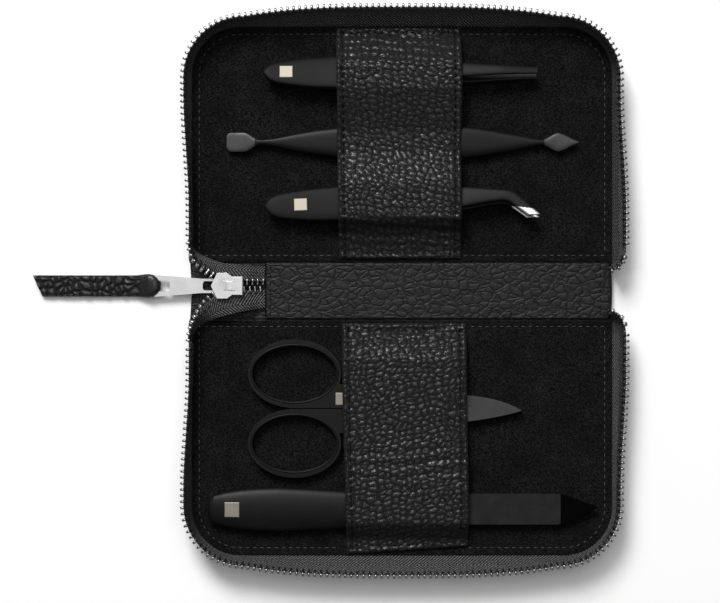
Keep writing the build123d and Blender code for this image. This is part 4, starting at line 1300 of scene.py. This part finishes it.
# %% Arms of the tweezers
def arm_axes(name):
    """Origin at the weld's rear end, and the directions ahead, sideways and up of a leaning pair."""
    plan = tweezers_plans[name]
    root_z = (node_box(f"{name}_lower_arm")[0][2] + node_box(f"{name}_upper_arm")[1][2]) / 2
    tilt, heading = math.radians(plan["roll"]), math.radians(plan["turn"])
    ahead = np.array([math.cos(heading), math.sin(heading), 0])
    across = np.array([-math.sin(heading), math.cos(heading), 0])
    up = across * math.sin(tilt) + np.array([0, 0, math.cos(tilt)])
    return np.array([*plan["place"], root_z]), ahead, np.cross(up, ahead), up


def arm(name, way):
    """Point = middle of the two edges + their half difference * c^(2/n) along the plan, and
    bow + thickness / 2 * s^(2/n) upwards, for c, s = cos and sin of the angle round the section."""
    plan = tweezers_plans[name]
    left = np.array(plan["left"], float)
    right = left * (1, -1) if plan["right"] is None else np.array(plan["right"], float)
    steps = np.linspace(0, 1, 260)
    steps = steps - 0.75 * np.sin(2 * np.pi * steps) / (2 * np.pi)
    lengths = [distances(line) for line in (left, right)]
    left, right = (
        smooth_line(read_at(steps * at[-1], at, line), 7) for at, line in zip(lengths, (left, right))
    )
    u = (left[:, 0] + right[:, 0]) / 2
    total = plan["length"]
    bow_u = np.array([0, 15, 20, 28, 0.45 * total, 0.58 * total, 0.72 * total, 0.87 * total, total])
    opened = [share * plan["spread"] for share in (0.33, 0.44, 0.5, 0.47, 0.37)]
    bow_w = np.array([0.6, 0.6, 0.68, 1.05, *opened])
    bow = smooth_line(np.interp(u, bow_u, bow_w), 31)
    thick = np.interp(u, [0, 1.5, total - 12, total], [0.8, arm_t, arm_t, 0.8]) * 0.97
    c = squared(np.cos(angles(44)), 4.2)[None, :, None]
    s = squared(np.sin(angles(44)), 3.2)[None, :]
    flat = (left + right)[:, None] / 2 + (left - right)[:, None] / 2 * c
    crown = 0.18 * np.cos(np.clip(c[..., 0], -1, 1) * 1.4) * np.clip(thick / arm_t, 0, 1)[:, None]
    lift = way * (bow[:, None] + thick[:, None] / 2 * s + crown * np.clip(s, 0, 1) - 0.12)
    origin, ahead, side, up = arm_axes(name)
    return origin + flat[..., :1] * ahead + flat[..., 1:] * side + lift[..., None] * up


satin_to = 18.0
tip_x, tip_y = 36.5, 28.0
for name in tweezers_plans:
    for way, label in ((-1, "lower"), (1, "upper")):
        obj = tube(f"{name}_{label}_spring", arm(name, way))
        dress(obj, "satin_black", replaces=(f"{name}_{label}_arm",))
        second_finish(obj, "black_steel", lambda p: p[:, 0] > satin_to)
        if name == "angled_tweezers":
            second_finish(
                obj, "nickel", lambda p: (p[:, 0] > tip_x) & (p[:, 1] < tip_y - 0.13 * (p[:, 0] - tip_x))
            )
        if way < 0:
            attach(obj, name)
        else:
            x = tweezers_plans[name]["place"][0]
            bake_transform(obj)
print("spring arms ready")

# %% [markdown]
# ## Pull tab
# The tab is a strap of the coarsest leather, folded round the pull's end bar and knotted, with its free
# end cut on a slant. Its pebbles are big enough to be real bumps, so they are part of the mesh.

# %% Tab
tab_low, tab_high = node_box("pull_tab")
cut_from, pebbled_to = -112, -86.5


def strap():
    """Closed sections along X: a rounded slab about 7 mm wide, pinched into a knot beside the pull."""
    end, knot = tab_low[0], tab_high[0]
    x = np.concatenate([np.linspace(end, -86, 130), np.linspace(-85.8, knot - 0.1, 70)])
    mid_y = (tab_low[1] + tab_high[1]) / 2
    stations = np.array(
        [
            (end, 3.55, 1.15, 5.0, 0.0), (-88.5, 3.55, 1.15, 5.0, 0.0), (-86.2, 3.85, 1.5, 3.5, 0.5),
            (-84.4, 4.0, 1.75, 2.8, 1.2), (-82.8, 3.7, 1.8, 2.6, 1.5), (-81.6, 2.7, 1.6, 2.6, 1.6),
            (knot - 0.5, 1.7, 1.2, 2.6, 1.6), (knot, 1.4, 0.9, 2.6, 1.5),
        ]
    )
    width, height, power, rise = (
        smooth_line(np.interp(x, stations[:, 0], stations[:, i]), 7) for i in (1, 2, 3, 4)
    )
    mid_z = tab_low[2] + 1.3 + rise[:, None]
    u = np.sin(np.linspace(-math.pi / 2, math.pi / 2, 49))[:-1]
    s = np.repeat([1.0, -1.0], 48)[None, :]
    u = np.concatenate([u, -u])[None, :]
    y = width[:, None] * u
    z = height[:, None] * s * (1 - np.abs(u) ** power[:, None]) ** (1 / power[:, None])
    cut = 3.2 * (1 - (y + 3.6) / 7.2) * np.clip((cut_from - x[:, None]) / (cut_from - end), 0, 1)
    xx = x[:, None] + cut + 0 * y
    plain = np.clip((pebbled_to - xx) / 2, 0, 1)
    bend_x, bend_y = field(xx / 4, y / 4), field(xx / 4 + 9, y / 4)
    cells = pebbles(xx / 2.3 + 0.7 * bend_x, (y + s * 0.4) / 2.3 + 0.7 * bend_y)
    lift = 0.7 * (cells - 0.8) * np.clip(2.2 * np.abs(z) / height[:, None], 0, 1) * plain
    rings = np.stack([xx, mid_y + y, mid_z + z + lift * s], axis=-1)
    obj = tube("strap_tab", rings)
    # Painted shade: the colour darkens in the creases between the tab's pebbles.
    paint_crease_shade(obj, (1 - plain * (1 - np.clip(1.5 * cells, 0, 1))).ravel())
    return dress(obj, "tab_leather", "tab", ("pull_tab",))


tab = strap()
print("tab faces", len(tab.data.polygons))

# %% [markdown]
# ## Where the zip leaves the walls
# At the left the two tapes leave the upright walls, turn flat and run together through the slider onto
# the spine. Each is one strip between two curves: the toothed edge and the sewn edge. The curves are
# smooth lines through a few measured points, and the strip is ruled between them with a soft belly.

# %% Smooth curves
def through(points, count=200):
    """Catmull-Rom curve: on each span, a cubic whose slopes follow the neighbouring points."""
    p = np.array(points, float)
    p = np.concatenate([[2 * p[0] - p[1]], p, [2 * p[-1] - p[-2]]])
    at = np.linspace(0, len(p) - 3 - 1e-9, count)
    i = at.astype(int)
    t = (at - i)[:, None]
    a, b, c, d = p[i], p[i + 1], p[i + 2], p[i + 3]
    return 0.5 * (2 * b + (c - a) * t + (2 * a - 5 * b + 4 * c - d) * t**2 + (3 * b - a - 3 * c + d) * t**3)


print("curve helper ready")

# %% [markdown]
# The points below are places on the tape: first where the wall ends, then round and down through the
# slider, and last under the spine's strip. The two tails are not mirror images, as one lies nearer the
# middle.

# %% Curves of the tails
chain_z, tail_w = 6.1, 6.5
toothed = {
    "upper": [(-70.45, 16.9, 10.7), (-70.2, 14.2, 10.5), (-68.9, 10.8, 9.6), (-66.2, 7.9, 8.0),
              (-63.4, 5.9, 6.6), (-60.8, 4.1, chain_z), (-57.6, 3.35, chain_z), (-54.0, 3.15, chain_z),
              (-51.6, 3.15, 5.5), (-48.6, 3.15, 3.5), (-45.8, 3.15, 2.2)],
    "lower": [(-70.45, -16.9, 10.7), (-70.2, -14.2, 10.5), (-69.0, -10.3, 9.6), (-66.6, -6.3, 8.0),
              (-63.6, -2.9, 6.6), (-60.8, -0.8, chain_z), (-57.6, 0.05, chain_z), (-54.0, 0.25, chain_z),
              (-51.6, 0.25, 5.5), (-48.6, 0.25, 3.5), (-45.8, 0.25, 2.2)],
}
sewn = {
    "upper": [(-70.35, 16.9, 2.9), (-69.6, 14.4, 2.9), (-67.6, 12.4, 3.3), (-64.6, 10.9, 4.2),
              (-61.4, 9.75, 5.2), (-57.6, 9.0, 5.9), (-54.0, 8.75, 5.7), (-51.0, 8.6, 4.6),
              (-48.4, 8.3, 3.1), (-45.6, 8.1, 2.2)],
    "lower": [(-70.35, -16.9, 2.9), (-69.7, -14.4, 2.9), (-67.8, -11.4, 3.2), (-64.8, -9.9, 4.0),
              (-61.6, -9.0, 5.0), (-57.6, -7.9, 5.8), (-54.0, -7.0, 5.7), (-51.0, -6.5, 4.6),
              (-48.4, -6.0, 3.1), (-45.6, -5.5, 2.2)],
}


def even(points, count):
    """Points evenly spaced along the smooth curve through the given points."""
    return resample(through(points, 900), count)[0]


def strip(name, edge, seam_line, rows=150, cols=16, belly=0.5, flip_side=1):
    """Point = edge + (sewn - edge) * share + up * belly * sin(pi * share)."""
    edge, seam_line = even(edge, rows), even(seam_line, rows)
    share = np.linspace(0, 1, cols)[None, :, None]
    grid = edge[:, None] + (seam_line - edge)[:, None] * share
    normals = grid_normals(grid) * flip_side
    fade = np.sin(np.linspace(0, np.pi, rows))[:, None, None]
    grid = grid + normals * belly * np.sin(np.pi * share) * fade
    uv = np.stack(np.meshgrid(distances(edge), np.linspace(0, tail_w, cols), indexing="ij"), axis=-1)
    return sheet_solid(name, grid + normals * tape_t / 2, tape_t, uv, normals), edge


print("tail curves", list(toothed))

# %% [markdown]
# The teeth of a tail are set out from the closed end, half a pitch apart between the two rows, because
# that is where they have to mesh. Those inside the slider cannot be seen, and are left out.

# %% Tails of the zip
slider_nose, slider_end = -61.6, -53.2


def tail(side, name):
    """Tape between its two curves, and teeth at every pitch back from the chain's closed end, except
    inside the slider. Past the slider they are a little smaller, so that the two rows lie side by side."""
    obj, _ = strip(f"{name}_tail_tape", toothed[name], sewn[name], flip_side=-side)
    dress(obj, "zip_cloth", replaces=(f"{name}_zip_tail",))
    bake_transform(obj)
    edge, seam_line = even(toothed[name], 900), even(sewn[name], 900)
    length = distances(edge)
    at = np.arange(length[-1] - (0.7 if side > 0 else 1.7), 0.5, -tooth_pitch)[::-1]
    spots = read_at(at, length, edge)
    out = unit(read_at(at, length, edge - seam_line))
    places = frames_along(spots + out * 0.05, out)
    places[spots[:, 0] > slider_end, :, :3] *= 0.85
    covered = (spots[:, 0] > slider_nose) & (spots[:, 0] < slider_end)
    rows = put_teeth(f"{name}_tail_tooth_row", places[~covered])
    dress(rows, "tooth_nickel", replaces=(f"{name}_tail_teeth",))
    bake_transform(rows)
    return obj, rows


tails = [tail(*half) for half in sides]
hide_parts("zip_end_tape")
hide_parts("zip_end_teeth")
print("tail teeth", [len(t[1].data.vertices) // len(tooth_points) for t in tails])

# %% [markdown]
# At the right each tape ends at the spine. Its last few millimetres are turned in and tucked under the
# spine's edge, with the last teeth still on them, and a small metal stop clamps the edge there.

# %% Turned ends and stops
stop_y = 11.0


def turned_end(side, name):
    """Short strip that curls under the spine's edge, two or three teeth on it, and the clamp before it."""
    wall_line = zip_line(0.0, wall_start)
    end_x = wall_line[-1][0]
    edge = [
        (end_x, 9.75, tape_top - edge_below), (end_x - 0.7, 8.5, 10.5), (end_x - 1.9, 7.4, 9.9),
        (end_x - 3.2, 6.9, 9.3),
    ]
    foot = [
        (half_l + 0.45, 9.75, 2.2), (half_l + 0.2, 8.8, 2.2), (half_l - 0.5, 8.0, 2.3),
        (half_l - 1.4, 7.6, 2.4),
    ]
    up, low = flip(np.array(edge), side), flip(np.array(foot), side)
    obj, line = strip(f"{name}_turned_end", up, low, rows=24, cols=12, belly=0.25, flip_side=side)
    dress(obj, "zip_cloth")
    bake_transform(obj)
    spots, _ = resample(line if side > 0 else line[4:], 3 if side > 0 else 2)
    spots = spots + np.array([0, 0, 0.15])
    outward = unit((spots - (low.mean(0) + [0, 0, 8])) * [1, 1, 0])
    rows = put_teeth(f"{name}_turned_teeth", frames_along(spots, z_up + outward * tooth_lean))
    dress(rows, "tooth_nickel")
    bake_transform(rows)
    off = np.abs(wall_line[:, 1] - stop_y) + far * (wall_line[:, 0] < 0)
    x = wall_line[np.argmin(off)][0]
    spots = flip(np.array([[x + 0.3, stop_y + 1.4, tape_top], [x, stop_y, tape_top]]), side)
    places = frames_along(spots, np.array([[0.2, 0, 1.0]] * 2))[1:]
    stop = put_teeth(f"{name}_stop_clamp", places * [1.7, 1.0, 0.6, 1])
    return dress(stop, "tooth_nickel", f"{name}_half", (f"{name}_top_stop",))


stops = [turned_end(*half) for half in sides]
print("stops", [s.name for s in stops])

# %% [markdown]
# The left end of the spine is faced with a flap of thin leather that lies over the board, between the
# slider and the case's edge.

# %% Facing of the spine's left end
facing_z, facing_t = 1.3, 0.2


def facing():
    """Strip whose left edge bows out by a sine of the way across, with a soft swell in the middle."""
    across = np.linspace(-crease + 0.1, crease - 0.1, 50)
    share = np.linspace(0, 1, 70)
    left = -half_l + 0.2 - 0.9 * np.abs(np.sin(across / crease * math.pi / 2)) ** 3
    x = left[None, :] + share[:, None] * (patch_low[0] + 0.3 - left[None, :])
    y = across[None, :] + 0 * x
    puff = 0.5 * np.exp(-((share[:, None] - 0.12) ** 2) / 0.01) * (0.6 + 0.4 * np.cos(y / 3))
    edge = np.minimum(share[:, None] * 24, crease - 0.1 - np.abs(y))
    z = facing_z + 0.15 * puff * np.clip(edge, 0, 1) - 0.1 * np.clip(1 - edge / 0.4, 0, 1)
    obj = sheet_solid("spine_facing", np.stack([x, y, z], axis=-1), facing_t, np.stack([x, y], axis=-1))
    return dress(obj, "spine_leather", "spine")


spine_facing = facing()
print("facing faces", len(spine_facing.data.polygons))

# %% [markdown]
# ## Plates on the grips
# Plain square plates of brushed champagne steel are let into the grips of the tweezers, the file and the
# scissors, in the plane of each grip's top face. They are left bare.

# %% Plates
def inlay(name, centre, size, up, ahead, body):
    """Small square plate with a bevelled rim: four rings, from the rim's foot up to its flat face."""
    up, ahead = unit(np.array(up, float)), np.array(ahead, float)
    ahead = unit(ahead - up * ahead.dot(up))
    side = np.cross(up, ahead)
    corner = np.array([[-1, -1], [1, -1], [1, 1], [-1, 1]]) / 2 * np.array(size)
    rings = []
    for grow, lift in ((1.0, -0.3), (1.0, 0.02), (0.94, 0.07), (0.9, 0.08)):
        rings.append(np.array(centre) + (corner * grow) @ np.stack([ahead, side]) + up * lift)
    return dress(tube(name, np.array(rings), smooth=False), "inlay", body)


for name, u in (("tweezers", 7.3), ("angled_tweezers", 11.6)):
    origin, ahead, _, up = arm_axes(name)
    inlay(f"{name}_plate", origin + u * ahead + arm_t * up, (4.3, 4.1), up, ahead, name)
file_spot = (-56.4, grip_mid, grip_z + grip_t * 0.87)
inlay("file_plate", file_spot, (4.9, 4.9), (-0.08, 0, 1), (1, 0, 0), "nail_file")
scissors_spot = (-20.0, -35.8, node_box("scissors_upper_half")[1][2])
inlay("scissors_plate", scissors_spot, (4.2, 4.0), (0, 0, 1), (1, 0, 0), "scissors_arm")
print("plates placed")

# %% [markdown]
# ## What is left of the CAD model
# The board inside the spine is the one CAD piece that no new surface stands for.

# %% Board of the spine
spine_board = dress(bpy.data.objects["spine_board"], "board")
print("dressed", spine_board.name)

# %% [markdown]
# ## Stage and light
# The case lies on a matt white table, which takes its shadow.

# %% Table
half_table = 1500
corners = [(x * half_table, y * half_table, 0) for x, y in ((-1, -1), (1, -1), (1, 1), (-1, 1))]
table = new_mesh("table_top", corners, [(0, 1, 2, 3)], smooth=False)
paper = bpy.data.materials.new("white_paper")
paper.use_nodes = True
paper_shader = paper.node_tree.nodes["Principled BSDF"]
paper_shader.inputs["Base Color"].default_value = (1, 1, 1, 1)
paper_shader.inputs["Roughness"].default_value = 0.8
table.data.materials.append(paper)
print("table", table.name)

# %% [markdown]
# Black leather and black steel are seen by the light that they mirror, so the lamps are large: a broad
# soft one overhead, and one beyond the far left that puts the sheen on the pebbles. The surrounding is
# white where the camera sees it and dim for everything else.

# %% Lamps and surrounding
def lamp(name, spot, size, power):
    """Square area lamp at spot, turned towards the middle of the table, in metres and watts."""
    data = bpy.data.lights.new(name, "AREA")
    data.shape, data.size, data.energy = "SQUARE", size, power
    obj = add(name, data)
    obj.location = spot
    way = 0 - np.array(spot)
    yaw, pitch = math.atan2(way[1], way[0]), math.atan2(way[2], math.hypot(way[0], way[1]))
    obj.rotation_euler = (math.pi / 2 + pitch, 0, yaw - math.pi / 2)
    return obj


lamp("overhead", (0.0, 0.5, 1.4), 1.2, 8)
lamp("left_far", (-0.6, 1.6, 1.7), 0.9, 52)
world = bpy.data.worlds.new("pale_surrounding")
world.use_nodes = True
sky = world.node_tree
seen = node(sky, "ShaderNodeLightPath").outputs["Is Camera Ray"]
tone = node(sky, "ShaderNodeMix", {"data_type": "RGBA"}, _0=seen)
tone.inputs["A"].default_value = (0.16, 0.16, 0.16, 1)
tone.inputs["B"].default_value = (1, 1, 1, 1)
sky.links.new(tone.outputs["Result"], sky.nodes["Background"].inputs["Color"])
bpy.context.scene.world = world
bpy.context.scene.view_settings.view_transform = "Standard"

# %% [markdown]
# ## Camera
# The case is seen straight from above, from a little over 60 cm, with a long lens.

# %% Camera
camera_data = bpy.data.cameras.new("above")
camera_data.lens, camera_data.sensor_width = 93, 36
camera = add("above", camera_data)
camera.location = (-0.014, -0.0035, 0.6225)
bpy.context.scene.camera = camera
print("camera", tuple(camera.location))
